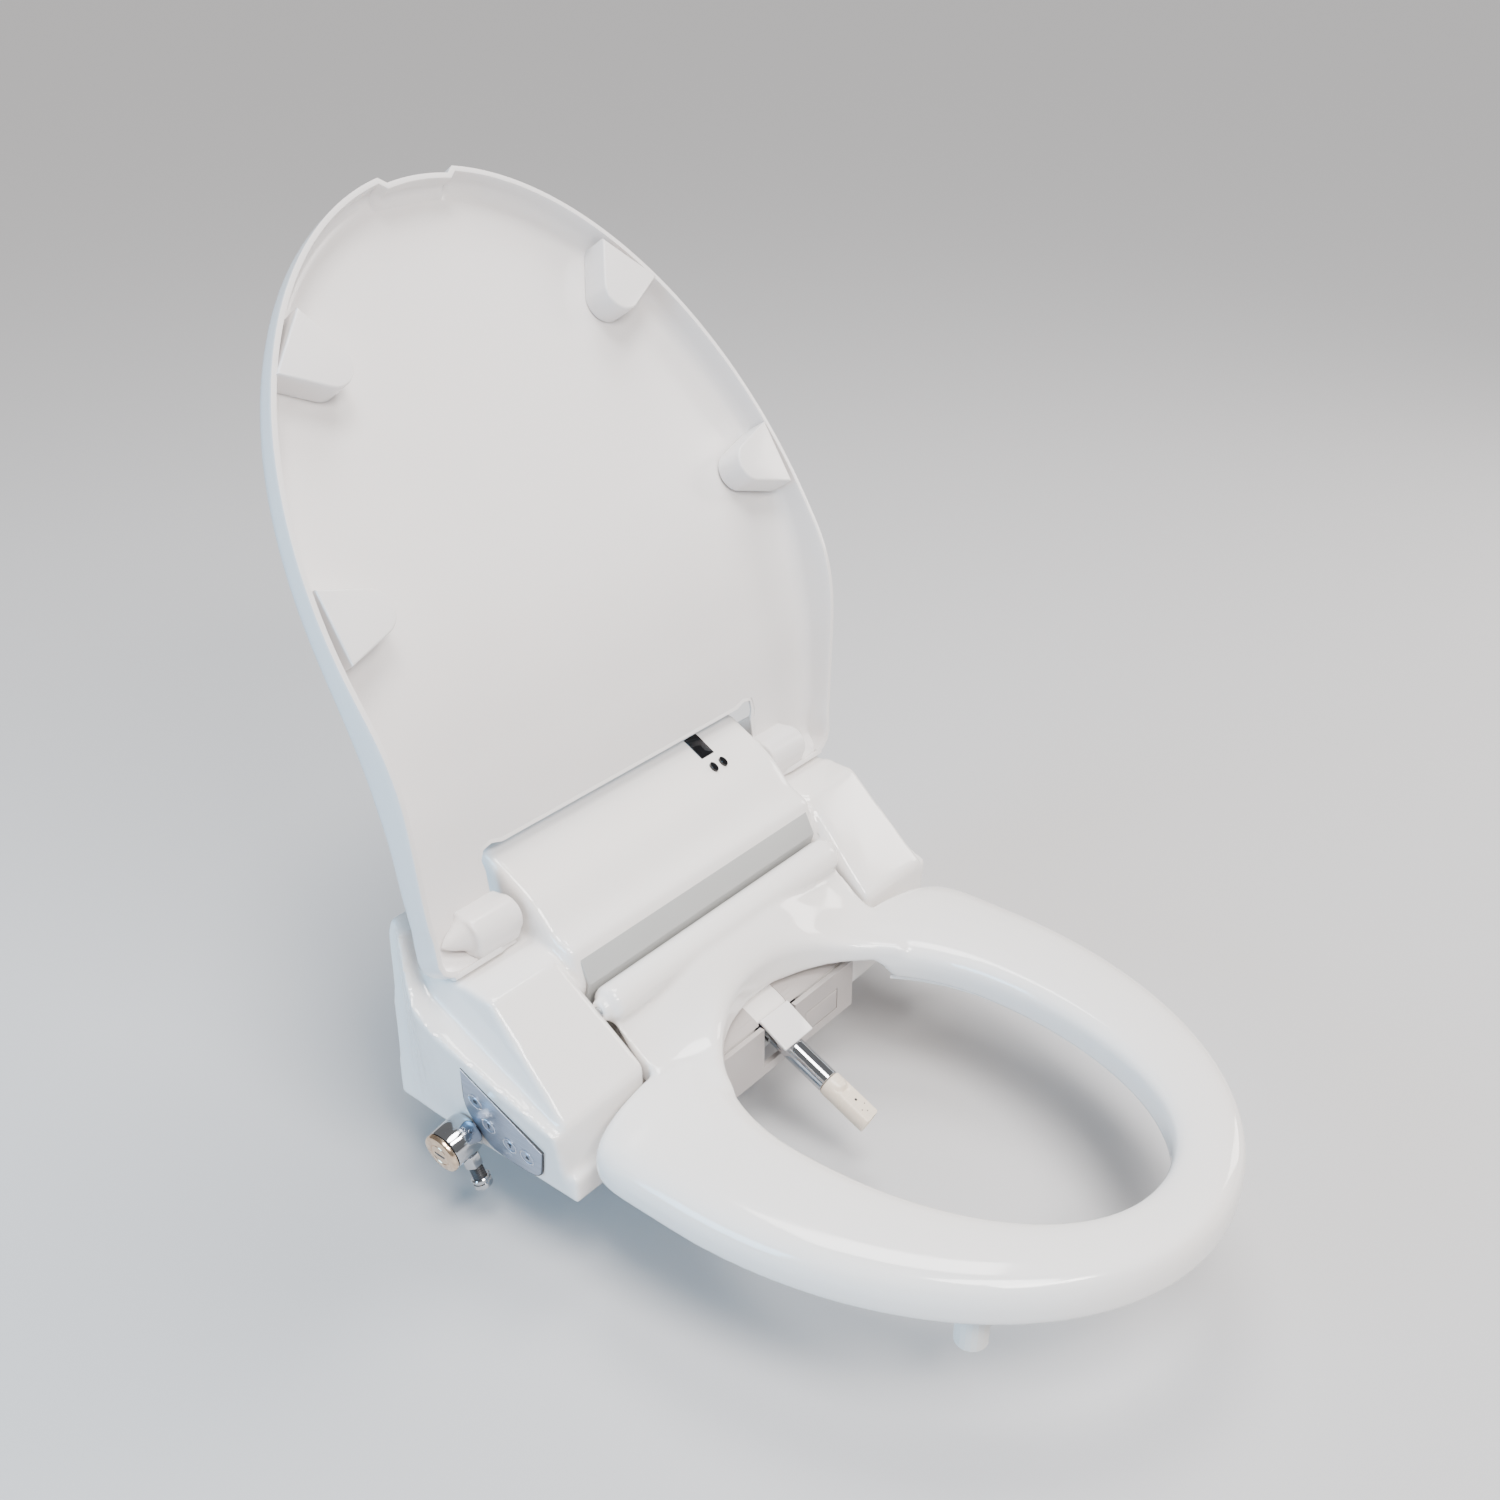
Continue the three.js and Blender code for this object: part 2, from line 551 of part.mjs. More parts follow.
function buildSeat() {
  const group = new THREE.Group();
  model.add(group);
  const bevel = { bevelEnabled: true, bevelThickness: 12, bevelSize: 14, bevelOffset: -14, bevelSegments: 4 };
  const crown = new THREE.ExtrudeGeometry(shapeOf(seatOutline(0)), { depth: seat.top - seat.bottom - 24,
    ...bevel });
  crown.translate(0, 0, seat.bottom + 12);
  const bridge = [[-150, 43], [-150, 56], [-128, 59], [-118, 66], [-109, 76], [-101, 88], [-94, 96],
    [-88, 99],
    [-78, 84], [-92, 78], [-108, 58], [-116, 45]];
  const ring = join(
    cut(crown, block(-400, 400, -123, 0, 0, 80)),
    across(bridge, -roll.half, roll.half),
    bar('x', roll.radius, -roll.half, roll.half, [seatAxis.y, seatAxis.z], 24),
  );
  const { bottom, top, wall: skin } = seat;
  const hollow = cut(
    slab(seatOutline(skin + 8), bottom - 1, top - skin - 3),
    slab(holeOutline(skin + 4), bottom - 2, top),
    block(-200, 200, -160, 0, 0, 80),
  );
  const shell = cut(
    ring,
    slab(holeOutline(0), 0, 80),
    hollow,
    block(-121, 121, -152, -112, 20, 42),
    ...pair((side) => bar('x', roll.bore, side > 0 ? 90 : -114, side > 0 ? 114 : -90,
      [seatAxis.y, seatAxis.z], 16)),
  );
  add('seat_upper_shell', shell, gloss(), group);
  add('seat_heater', cut(
    slab(seatOutline(skin + 14), 46.5, 48),
    slab(holeOutline(skin + 10), 40, 60),
    block(-200, 200, -166, 0, 0, 80),
  ), copper(), group);
  add('seat_lower_shell', cut(
    slab(seatOutline(skin + 8.5), bottom + 0.3, bottom + 3.3),
    slab(holeOutline(skin + 4.5), bottom - 2, bottom + 8),
    block(-200, 200, -160.5, 0, 0, 80),
  ), gloss(), group);
  for (const [place, x, y] of [['front', 122, -365], ['rear', 152, -180]]) {
    for (const side of [1, -1]) {
      const hand = side > 0 ? 'right' : 'left';
      const foot = bar('z', 10, 0, bottom, [side * x, y], 18);
      add(`seat_bumper_${place}_${hand}`, foot, rubber(), group);
    }
  }
}

function lidOutline(shrink) {
  const { half, wideY, tipY } = lid;
  return mirrored([
    [195 - shrink, 4],
    [200 - shrink, -60],
    [205.5 - shrink, -125],
    ...ovalQuarter(half - shrink, wideY, tipY + shrink, 18),
    [24, tipY + shrink],
  ]);
}

// The lid is drawn closed, about its own pivot, and its group stands it open
function buildLid() {
  const group = new THREE.Group();
  group.position.set(0, lidAxis.y, lidAxis.z);
  group.rotation.x = -lidOpen;
  model.add(group);
  const { rimZ, topZ, tipY, wall: skin } = lid;
  const top = [[-461, topZ - 6], [-450, topZ - 1], [-330, topZ + 2], [-200, topZ + 3], [-140, topZ + 12],
    [-90, topZ + 30], [-57, 132], [-30, 145], [-15, 150.5], [-6, 148], [0, 140]];
  const rim = [[0, 133], [-107, 67], [-130, rimZ], [tipY, rimZ]];
  const topInside = inset([...top, [20, 140], [20, 0], [-461, 0]], skin).slice(0, top.length);
  const outer = meet(slab(lidOutline(0), 0, 160), across([...top, ...rim], -220, 220));
  const inner = meet(
    slab(lidOutline(skin), -10, 160),
    across([...topInside, [6, 120], [6, 20], [-480, 20], [-480, topInside[0][1]]], -220, 220),
  );
  const barrels = pair((side) => bar(
    'x', knuckle.radius,
    side > 0 ? knuckle.inner : -knuckle.outer, side > 0 ? knuckle.outer : -knuckle.inner,
    [lidAxis.y, lidAxis.z], 24,
  ));
  const bores = pair((side) => bar(
    'x', knuckle.bore, side > 0 ? 120 : -152, side > 0 ? 152 : -120, [lidAxis.y, lidAxis.z], 16,
  ));
  const shell = cut(
    join(cut(outer, inner, block(-notch.half, notch.half, notch.y, 10, 50, 170)), ...barrels),
    ...bores,
  );
  const home = (geometry) => geometry.translate(0, -lidAxis.y, -lidAxis.z);
  add('lid_shell', home(shell), gloss(), group);

  // Four soft stops under the lid that rest on the seat
  const stops = [['rear', 197, -214, 0], ['front', 145, -364, 44]];
  for (const [place, x, y, turn] of stops) {
    for (const side of [1, -1]) {
      const hand = side > 0 ? 'right' : 'left';
      const pad = slab([[13, -24], ...arc(-14, 0, 13, 250, 110, 6), [13, 24]], 0, topZ - skin - 58);
      pad.rotateZ(THREE.MathUtils.degToRad(-turn));
      if (side < 0) {
        pad.rotateZ(Math.PI + THREE.MathUtils.degToRad(2 * turn));
      }
      pad.translate(side * (x - 14), y, 58.3);
      add(`lid_buffer_${place}_${hand}`, home(pad), rubber(), group);
    }
  }
}

model.add(sideWall, wand);
buildHousing();
buildPivots();
buildMounting();
buildWaterWorks();
buildWand();
buildFlaps();
buildAirWorks();
buildElectrics();
buildSeat();
buildLid();

export default model;
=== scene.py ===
import json
import math

import bmesh
import bpy
from mathutils import Matrix, Vector


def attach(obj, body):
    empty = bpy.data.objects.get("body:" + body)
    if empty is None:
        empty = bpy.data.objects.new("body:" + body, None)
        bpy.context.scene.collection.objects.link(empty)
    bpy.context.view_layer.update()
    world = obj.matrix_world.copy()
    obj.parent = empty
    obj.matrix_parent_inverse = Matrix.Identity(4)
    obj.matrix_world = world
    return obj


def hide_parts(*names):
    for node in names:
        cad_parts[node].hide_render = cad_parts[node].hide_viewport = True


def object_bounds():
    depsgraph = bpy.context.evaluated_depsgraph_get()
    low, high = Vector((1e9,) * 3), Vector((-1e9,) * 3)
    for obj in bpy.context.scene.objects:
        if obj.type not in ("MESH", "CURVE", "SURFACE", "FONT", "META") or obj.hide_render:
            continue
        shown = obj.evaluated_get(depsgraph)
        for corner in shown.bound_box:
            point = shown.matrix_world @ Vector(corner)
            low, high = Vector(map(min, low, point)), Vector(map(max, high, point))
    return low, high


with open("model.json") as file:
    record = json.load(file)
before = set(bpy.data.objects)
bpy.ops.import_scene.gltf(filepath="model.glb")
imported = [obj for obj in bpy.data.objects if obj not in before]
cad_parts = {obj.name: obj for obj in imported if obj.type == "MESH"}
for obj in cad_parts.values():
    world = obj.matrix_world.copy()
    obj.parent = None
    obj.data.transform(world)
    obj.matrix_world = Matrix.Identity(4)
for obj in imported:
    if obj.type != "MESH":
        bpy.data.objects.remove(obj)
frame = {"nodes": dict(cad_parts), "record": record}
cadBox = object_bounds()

mm = 0.001                    # pieces are drawn in millimetres and scaled once
sharp = math.radians(32)      # edges over this angle stay crisp


studio = {
    "camera": (-0.6821, -0.6620, 0.7148),
    "back": (-0.6800, -0.5527, 0.4818),
    "lens": 38.4,
    "floor": (0.52, 0.515, 0.52),
    "world": (0.9, 0.9, 0.91),
    "worldStrength": 0.3,
    "sunStrength": 3.1,
    "sunAngle": 0.4,
    "sunDirection": (0.16, 0.3, -1),
    "sunColour": (1, 0.975, 0.955),
    # name, place, target, size, power, colour
    "panels": [
        ("keyPanel", (-0.5, -1.5, 1.7), (0, -0.1, 0.1), (0.9, 0.45), 46, (1, 0.95, 0.91)),
        ("sidePanel", (-1.9, 0.35, 0.75), (0, -0.1, 0.12), (1.0, 0.8), 40, (0.3, 0.66, 1)),
        ("topPanel", (0.5, 0.2, 1.9), (0, -0.15, 0), (0.7, 0.7), 26, (1, 0.98, 0.96)),
        ("rightPanel", (1.8, -0.9, 0.8), (0, -0.1, 0.15), (0.5, 0.9), 16, (1, 0.94, 0.9)),
    ],
    "floorSize": 60,
    "floorGap": 0.0005,
}


def areaLight(name, place, target, size, power, colour):
    data = bpy.data.lights.new(name, "AREA")
    data.shape = "RECTANGLE"
    data.size, data.size_y = size
    data.energy = power
    data.color = colour
    light = bpy.data.objects.new(name, data)
    light.location = place
    aim = Vector(target) - Vector(place)
    light.rotation_euler = aim.to_track_quat("-Z", "Y").to_euler()
    bpy.context.collection.objects.link(light)


def buildStudio():
    cameraData = bpy.data.cameras.new("camera")
    cameraData.lens = studio["lens"]
    cameraData.sensor_width = 36
    camera = bpy.data.objects.new("camera", cameraData)
    camera.location = studio["camera"]
    camera.rotation_euler = (-Vector(studio["back"])).to_track_quat("-Z", "Y").to_euler()
    bpy.context.collection.objects.link(camera)
    bpy.context.scene.camera = camera

    world = bpy.data.worlds.new("softRoom")
    world.use_nodes = True
    background = world.node_tree.nodes["Background"]
    background.inputs["Color"].default_value = (*studio["world"], 1)
    background.inputs["Strength"].default_value = studio["worldStrength"]
    bpy.context.scene.world = world

    for panel in studio["panels"]:
        areaLight(*panel)

    sunData = bpy.data.lights.new("softSun", "SUN")
    sunData.energy = studio["sunStrength"]
    sunData.angle = studio["sunAngle"]
    sunData.color = studio["sunColour"]
    sun = bpy.data.objects.new("softSun", sunData)
    sun.rotation_euler = Vector(studio["sunDirection"]).to_track_quat("-Z", "Y").to_euler()
    bpy.context.collection.objects.link(sun)

    low = cadBox[0].z - studio["floorGap"]
    bm = bmesh.new()
    bmesh.ops.create_grid(bm, x_segments=1, y_segments=1, size=studio["floorSize"])
    bmesh.ops.translate(bm, verts=bm.verts, vec=(0, 0, low))
    mesh = bpy.data.meshes.new("floor")
    bm.to_mesh(mesh)
    floor = bpy.data.objects.new("floor", mesh)
    bpy.context.collection.objects.link(floor)
    paint = bpy.data.materials.new("paleFloor")
    paint.use_nodes = True
    shader = paint.node_tree.nodes["Principled BSDF"]
    shader.inputs["Base Color"].default_value = (*studio["floor"], 1)
    shader.inputs["Roughness"].default_value = 0.9
    mesh.materials.append(paint)


buildStudio()
print("studio ready")


def newGroup(name, inputs, outputs):
    group = bpy.data.node_groups.new(name, "ShaderNodeTree")
    for label, kind, value in inputs:
        socket = group.interface.new_socket(label, in_out="INPUT", socket_type=kind)
        socket.default_value = value
    for label, kind in outputs:
        group.interface.new_socket(label, in_out="OUTPUT", socket_type=kind)
    start = group.nodes.new("NodeGroupInput")
    end = group.nodes.new("NodeGroupOutput")
    return group, start, end


def noiseNode(tree, vector, scale, detail, roughness=0.5):
    node = tree.nodes.new("ShaderNodeTexNoise")
    node.inputs["Scale"].default_value = scale
    node.inputs["Detail"].default_value = detail
    node.inputs["Roughness"].default_value = roughness
    tree.links.new(vector, node.inputs["Vector"])
    return node


def rangeNode(tree, value, low, high, fromLow=0.3, fromHigh=0.7):
    node = tree.nodes.new("ShaderNodeMapRange")
    tree.links.new(value, node.inputs["Value"])
    node.inputs["From Min"].default_value = fromLow
    node.inputs["From Max"].default_value = fromHigh
    for label, end in (("To Min", low), ("To Max", high)):
        if isinstance(end, (int, float)):
            node.inputs[label].default_value = end
        else:
            tree.links.new(end, node.inputs[label])
    return node.outputs["Result"]


def mathNode(tree, operation, first, second):
    node = tree.nodes.new("ShaderNodeMath")
    node.operation = operation
    for socket, value in zip(node.inputs, (first, second)):
        if isinstance(value, (int, float)):
            socket.default_value = value
        else:
            tree.links.new(value, socket)
    return node.outputs[0]


def mixColour(tree, factor, first, second):
    node = tree.nodes.new("ShaderNodeMix")
    node.data_type = "RGBA"
    tree.links.new(factor, node.inputs[0])
    for index, value in ((6, first), (7, second)):
        if isinstance(value, tuple):
            node.inputs[index].default_value = (*value, 1)
        else:
            tree.links.new(value, node.inputs[index])
    return node.outputs[2]


handlingInputs = [
    ("Vector", "NodeSocketVector", (0, 0, 0)),
    ("Light", "NodeSocketColor", (0.9, 0.9, 0.9, 1)),
    ("Deep", "NodeSocketColor", (0.8, 0.8, 0.8, 1)),
    ("Smooth", "NodeSocketFloat", 0.1),
    ("Rough", "NodeSocketFloat", 0.2),
    ("Skin Scale", "NodeSocketFloat", 900),
    ("Skin Depth", "NodeSocketFloat", 0.05),
]
surfaceOutputs = [
    ("Color", "NodeSocketColor"),
    ("Roughness", "NodeSocketFloat"),
    ("Normal", "NodeSocketVector"),
]


def makeHandled():    # moulded plastic that has been wiped and touched
    group, start, end = newGroup("handledSurface", handlingInputs, surfaceOutputs)
    vector = start.outputs["Vector"]
    cloud = noiseNode(group, vector, 7, 3, 0.55)
    tint = rangeNode(group, cloud.outputs["Fac"], 0, 1)
    colour = mixColour(group, tint, start.outputs["Light"], start.outputs["Deep"])
    group.links.new(colour, end.inputs["Color"])
    streaks = group.nodes.new("ShaderNodeMapping")
    streaks.inputs["Scale"].default_value = (3, 26, 14)
    streaks.inputs["Rotation"].default_value = (0.4, 0.2, 0.7)
    group.links.new(vector, streaks.inputs["Vector"])
    wiped = noiseNode(group, streaks.outputs["Vector"], 3.2, 5, 0.62)
    finish = rangeNode(group, wiped.outputs["Fac"], start.outputs["Smooth"], start.outputs["Rough"])
    group.links.new(finish, end.inputs["Roughness"])
    skin = group.nodes.new("ShaderNodeTexNoise")
    skin.inputs["Detail"].default_value = 2
    group.links.new(vector, skin.inputs["Vector"])
    group.links.new(start.outputs["Skin Scale"], skin.inputs["Scale"])
    bump = group.nodes.new("ShaderNodeBump")
    bump.inputs["Distance"].default_value = 0.0002
    group.links.new(skin.outputs["Fac"], bump.inputs["Height"])
    group.links.new(start.outputs["Skin Depth"], bump.inputs["Strength"])
    group.links.new(bump.outputs["Normal"], end.inputs["Normal"])
    return group


def makeBrushed():    # metal with a fine grain along its stretched coordinates
    inputs = [
        ("Vector", "NodeSocketVector", (0, 0, 0)),
        ("Light", "NodeSocketColor", (0.6, 0.6, 0.6, 1)),
        ("Deep", "NodeSocketColor", (0.4, 0.4, 0.4, 1)),
        ("Smooth", "NodeSocketFloat", 0.2),
        ("Rough", "NodeSocketFloat", 0.4),
        ("Depth", "NodeSocketFloat", 0.1),
    ]
    group, start, end = newGroup("brushedSurface", inputs, surfaceOutputs)
    lines = noiseNode(group, start.outputs["Vector"], 1, 6, 0.7)
    tint = rangeNode(group, lines.outputs["Fac"], 0, 1, 0.35, 0.65)
    colour = mixColour(group, tint, start.outputs["Light"], start.outputs["Deep"])
    group.links.new(colour, end.inputs["Color"])
    finish = rangeNode(group, lines.outputs["Fac"], start.outputs["Smooth"], start.outputs["Rough"])
    group.links.new(finish, end.inputs["Roughness"])
    bump = group.nodes.new("ShaderNodeBump")
    bump.inputs["Distance"].default_value = 0.0001
    group.links.new(lines.outputs["Fac"], bump.inputs["Height"])
    group.links.new(start.outputs["Depth"], bump.inputs["Strength"])
    group.links.new(bump.outputs["Normal"], end.inputs["Normal"])
    return group


handled = makeHandled()
brushed = makeBrushed()


def newMaterial(name):
    material = bpy.data.materials.new(name)
    material.use_nodes = True
    tree = material.node_tree
    return material, tree, tree.nodes["Principled BSDF"]


def objectVector(tree, scale=(1, 1, 1), rotation=(0, 0, 0)):
    coordinates = tree.nodes.new("ShaderNodeTexCoord")
    mapping = tree.nodes.new("ShaderNodeMapping")
    mapping.inputs["Scale"].default_value = scale
    mapping.inputs["Rotation"].default_value = rotation
    tree.links.new(coordinates.outputs["Object"], mapping.inputs["Vector"])
    return mapping.outputs["Vector"]


def useGroup(tree, shader, group, vector, values):
    node = tree.nodes.new("ShaderNodeGroup")
    node.node_tree = group
    tree.links.new(vector, node.inputs["Vector"])
    for label, value in values.items():
        node.inputs[label].default_value = (*value, 1) if isinstance(value, tuple) else value
    tree.links.new(node.outputs["Color"], shader.inputs["Base Color"])
    tree.links.new(node.outputs["Roughness"], shader.inputs["Roughness"])
    tree.links.new(node.outputs["Normal"], shader.inputs["Normal"])


def mouldedPlastic(name, light, deep, smooth, rough, skinScale=900, skinDepth=0.05, coat=0.0, glow=0.0):
    material, tree, shader = newMaterial(name)
    useGroup(tree, shader, handled, objectVector(tree), {
        "Light": light, "Deep": deep, "Smooth": smooth, "Rough": rough,
        "Skin Scale": skinScale, "Skin Depth": skinDepth,
    })
    shader.inputs["Coat Weight"].default_value = coat
    shader.inputs["Coat Roughness"].default_value = 0.06
    shader.inputs["Subsurface Weight"].default_value = glow
    shader.inputs["Subsurface Radius"].default_value = (0.006, 0.005, 0.004)
    shader.inputs["Subsurface Scale"].default_value = 0.4
    return material


def brushedMetal(name, light, deep, smooth, rough, depth, grain, metallic=1.0):
    material, tree, shader = newMaterial(name)
    useGroup(tree, shader, brushed, objectVector(tree, grain), {
        "Light": light, "Deep": deep, "Smooth": smooth, "Rough": rough, "Depth": depth,
    })
    shader.inputs["Metallic"].default_value = metallic
    return material


def makeTurnedFace():
    material, tree, shader = newMaterial("turnedFace")
    vector = objectVector(tree)
    centre = tree.nodes.new("ShaderNodeVectorMath")
    centre.operation = "DISTANCE"
    centre.inputs[1].default_value = valveCentre
    tree.links.new(vector, centre.inputs[0])
    rings = mathNode(tree, "SINE", mathNode(tree, "MULTIPLY", centre.outputs["Value"], 9000), 0)
    grain = noiseNode(tree, vector, 260, 4)
    height = mathNode(tree, "ADD", mathNode(tree, "MULTIPLY", rings, 0.25), grain.outputs["Fac"])
    bump = tree.nodes.new("ShaderNodeBump")
    bump.inputs["Distance"].default_value = 0.0001
    bump.inputs["Strength"].default_value = 0.1
    tree.links.new(height, bump.inputs["Height"])
    tree.links.new(bump.outputs["Normal"], shader.inputs["Normal"])
    tint = rangeNode(tree, grain.outputs["Fac"], 0, 1)
    colour = mixColour(tree, tint, (0.86, 0.66, 0.47), (0.62, 0.45, 0.32))
    tree.links.new(colour, shader.inputs["Base Color"])
    tree.links.new(rangeNode(tree, grain.outputs["Fac"], 0.12, 0.26), shader.inputs["Roughness"])
    shader.inputs["Metallic"].default_value = 1
    return material


def makeBoard():
    material, tree, shader = newMaterial("solderResist")
    vector = objectVector(tree)
    tracks = tree.nodes.new("ShaderNodeTexBrick")
    tracks.inputs["Scale"].default_value = 120
    tracks.inputs["Color1"].default_value = (0.015, 0.13, 0.05, 1)
    tracks.inputs["Color2"].default_value = (0.02, 0.17, 0.07, 1)
    tracks.inputs["Mortar"].default_value = (0.06, 0.3, 0.12, 1)
    tracks.inputs["Mortar Size"].default_value = 0.03
    tree.links.new(vector, tracks.inputs["Vector"])
    tree.links.new(tracks.outputs["Color"], shader.inputs["Base Color"])
    fleck = noiseNode(tree, vector, 300, 2)
    tree.links.new(rangeNode(tree, fleck.outputs["Fac"], 0.25, 0.5), shader.inputs["Roughness"])
    bump = tree.nodes.new("ShaderNodeBump")
    bump.inputs["Distance"].default_value = 0.0001
    bump.inputs["Strength"].default_value = 0.4
    tree.links.new(tracks.outputs["Fac"], bump.inputs["Height"])
    tree.links.new(bump.outputs["Normal"], shader.inputs["Normal"])
    return material


draft = math.radians(9.5)
wallOut = Vector((-math.cos(draft), 0, -math.sin(draft)))
wallUp = Vector((-math.sin(draft), 0, math.cos(draft)))
wallFoot = Vector((-190, 0, 0))


def onWall(along, up, out):    # forwards along the drafted left wall, up it and out of it, in mm
    return wallFoot + Vector((0, -along, 0)) + wallUp * up + wallOut * out


valve = {"along": 36, "up": 16, "length": 27}
valveCentre = onWall(valve["along"], valve["up"], valve["length"]) * mm

paint = {
    "white": mouldedPlastic("glossWhite", (0.87, 0.84, 0.815), (0.85, 0.82, 0.80), 0.07, 0.15,
                            420, 0.012, coat=0.35, glow=0.06),
    "lidWhite": mouldedPlastic("lidWhite", (0.80, 0.775, 0.765), (0.775, 0.75, 0.745), 0.16, 0.26,
                               420, 0.02, coat=0.15, glow=0.06),
    # mid grey: real grey plastic on kept grey parts; on the recess panel this grey is painted shade under the
    # console's overhang
    "recess": mouldedPlastic("greyPlasticAndRecessShade", (0.40, 0.405, 0.40), (0.37, 0.375, 0.37), 0.32, 0.45,
                             1300, 0.12),
    "splash": mouldedPlastic("splashBeige", (0.44, 0.405, 0.39), (0.425, 0.39, 0.375), 0.26, 0.32,
                             800, 0.03),
    "cream": mouldedPlastic("nozzleCream", (0.80, 0.70, 0.58), (0.77, 0.67, 0.55), 0.22, 0.36, 700, 0.05,
                            glow=0.1),
    # near black: real dark plastic on most pieces, and painted shade in the nozzle's outlets and the cap's
    # slot
    "dark": mouldedPlastic("darkPlasticAndPaintedShade", (0.022, 0.022, 0.025), (0.035, 0.035, 0.038), 0.35, 0.55,
                           1500, 0.25),
    "rubber": mouldedPlastic("softRubber", (0.72, 0.71, 0.69), (0.66, 0.65, 0.63), 0.5, 0.68, 1700, 0.2),
    "nylon": mouldedPlastic("naturalNylon", (0.78, 0.76, 0.70), (0.72, 0.70, 0.64), 0.35, 0.5, 1000, 0.1,
                            glow=0.15),
    "glass": mouldedPlastic("blackGlass", (0.002, 0.002, 0.003), (0.004, 0.004, 0.005), 0.06, 0.1, 300, 0.0),
    "chrome": brushedMetal("polishedChrome", (0.55, 0.56, 0.58), (0.48, 0.49, 0.51), 0.035, 0.09, 0.02,
                           (40, 40, 40)),
    "steel": brushedMetal("brushedSteel", (0.56, 0.57, 0.59), (0.42, 0.43, 0.45), 0.22, 0.38, 0.25,
                          (30, 30, 900)),
    "panel": brushedMetal("brushedPanel", (0.40, 0.46, 0.58), (0.30, 0.35, 0.45), 0.26, 0.42, 0.22,
                          (900, 40, 1200), metallic=0.85),
    # a lighter copy of the panel metal: painted highlight on the raised rings round the buttons
    "relief": brushedMetal("panelReliefPaintedHighlight", (0.62, 0.66, 0.74), (0.50, 0.54, 0.62), 0.2, 0.32, 0.1,
                           (300, 300, 300), metallic=0.85),
    "copper": brushedMetal("heaterFoil", (0.72, 0.42, 0.24), (0.55, 0.30, 0.17), 0.25, 0.4, 0.2,
                           (60, 900, 60)),
    "turned": makeTurnedFace(),
    "board": makeBoard(),
}
print("materials ready")


def shadeSmooth(mesh):
    mesh.polygons.foreach_set("use_smooth", [True] * len(mesh.polygons))
    mesh.set_sharp_from_angle(angle=sharp)


def makePiece(name, bm, body, material, replaces=(), turn=None, merge=0.01):
    if merge:
        bmesh.ops.remove_doubles(bm, verts=bm.verts, dist=merge)
    bmesh.ops.recalc_face_normals(bm, faces=bm.faces)
    if turn is not None:
        bmesh.ops.transform(bm, matrix=turn, verts=bm.verts)
    bmesh.ops.scale(bm, vec=(mm, mm, mm), verts=bm.verts)
    mesh = bpy.data.meshes.new(name)
    bm.to_mesh(mesh)
    bm.free()
    piece = bpy.data.objects.new(name, mesh)
    bpy.context.collection.objects.link(piece)
    mesh.materials.append(paint[material])
    shadeSmooth(mesh)
    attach(piece, body)
    if replaces:
        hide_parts(*replaces)
    return piece


def gather(parts):
    whole = bmesh.new()
    for part in parts:
        mesh = bpy.data.meshes.new("part")
        part.to_mesh(mesh)
        part.free()
        whole.from_mesh(mesh)
        bpy.data.meshes.remove(mesh)
    return whole


def carve(bm, cutter):    # the cutter is one closed solid, or several that stand apart
    solids = []
    for name, source in (("stock", bm), ("cutter", cutter)):
        mesh = bpy.data.meshes.new(name)
        source.to_mesh(mesh)
        source.free()
        solid = bpy.data.objects.new(name, mesh)
        bpy.context.collection.objects.link(solid)
        solids.append(solid)
    stock, tool = solids
    cut = stock.modifiers.new("cut", "BOOLEAN")
    cut.operation = "DIFFERENCE"
    cut.solver = "EXACT"
    cut.object = tool
    made = bmesh.new()
    made.from_mesh(stock.evaluated_get(bpy.context.evaluated_depsgraph_get()).to_mesh())
    for solid in solids:
        mesh = solid.data
        bpy.data.objects.remove(solid)
        bpy.data.meshes.remove(mesh)
    return made


def fuse(parts, voxel, rounds):    # melts overlapping solids into one skin with soft joins
    whole = gather(parts)
    bmesh.ops.recalc_face_normals(whole, faces=whole.faces)
    mesh = bpy.data.meshes.new("rough")
    whole.to_mesh(mesh)
    whole.free()
    rough = bpy.data.objects.new("rough", mesh)
    bpy.context.collection.objects.link(rough)
    remesh = rough.modifiers.new("melt", "REMESH")
    remesh.mode = "VOXEL"
    remesh.voxel_size = voxel
    melted = rough.evaluated_get(bpy.context.evaluated_depsgraph_get()).to_mesh()
    bm = bmesh.new()
    bm.from_mesh(melted)
    bpy.data.objects.remove(rough)
    bpy.data.meshes.remove(mesh)
    for _ in range(rounds):
        bmesh.ops.smooth_vert(bm, verts=bm.verts, factor=0.5, use_axis_x=True, use_axis_y=True,
                              use_axis_z=True)
    return bm


def curveThrough(points, steps):    # a smooth line through given points
    spread = [points[0], *points, points[-1]]
    made = []
    for i in range(1, len(spread) - 2):
        a, b, c, d = (Vector(p) for p in spread[i - 1:i + 3])
        for s in range(steps):
            t = s / steps
            made.append(0.5 * (2 * b + (c - a) * t + (2 * a - 5 * b + 4 * c - d) * t * t
                               + (3 * b - a - 3 * c + d) * t ** 3))
    made.append(Vector(points[-1]))
    return made


def valueAt(curve, place):
    for a, b in zip(curve, curve[1:]):
        if a[0] <= place <= b[0]:
            return a[1] + (b[1] - a[1]) * (place - a[0]) / max(b[0] - a[0], 1e-6)
    return curve[0][1] if place < curve[0][0] else curve[-1][1]


def smoothStep(low, high, value):
    t = min(max((value - low) / (high - low), 0), 1)
    return t * t * (3 - 2 * t)


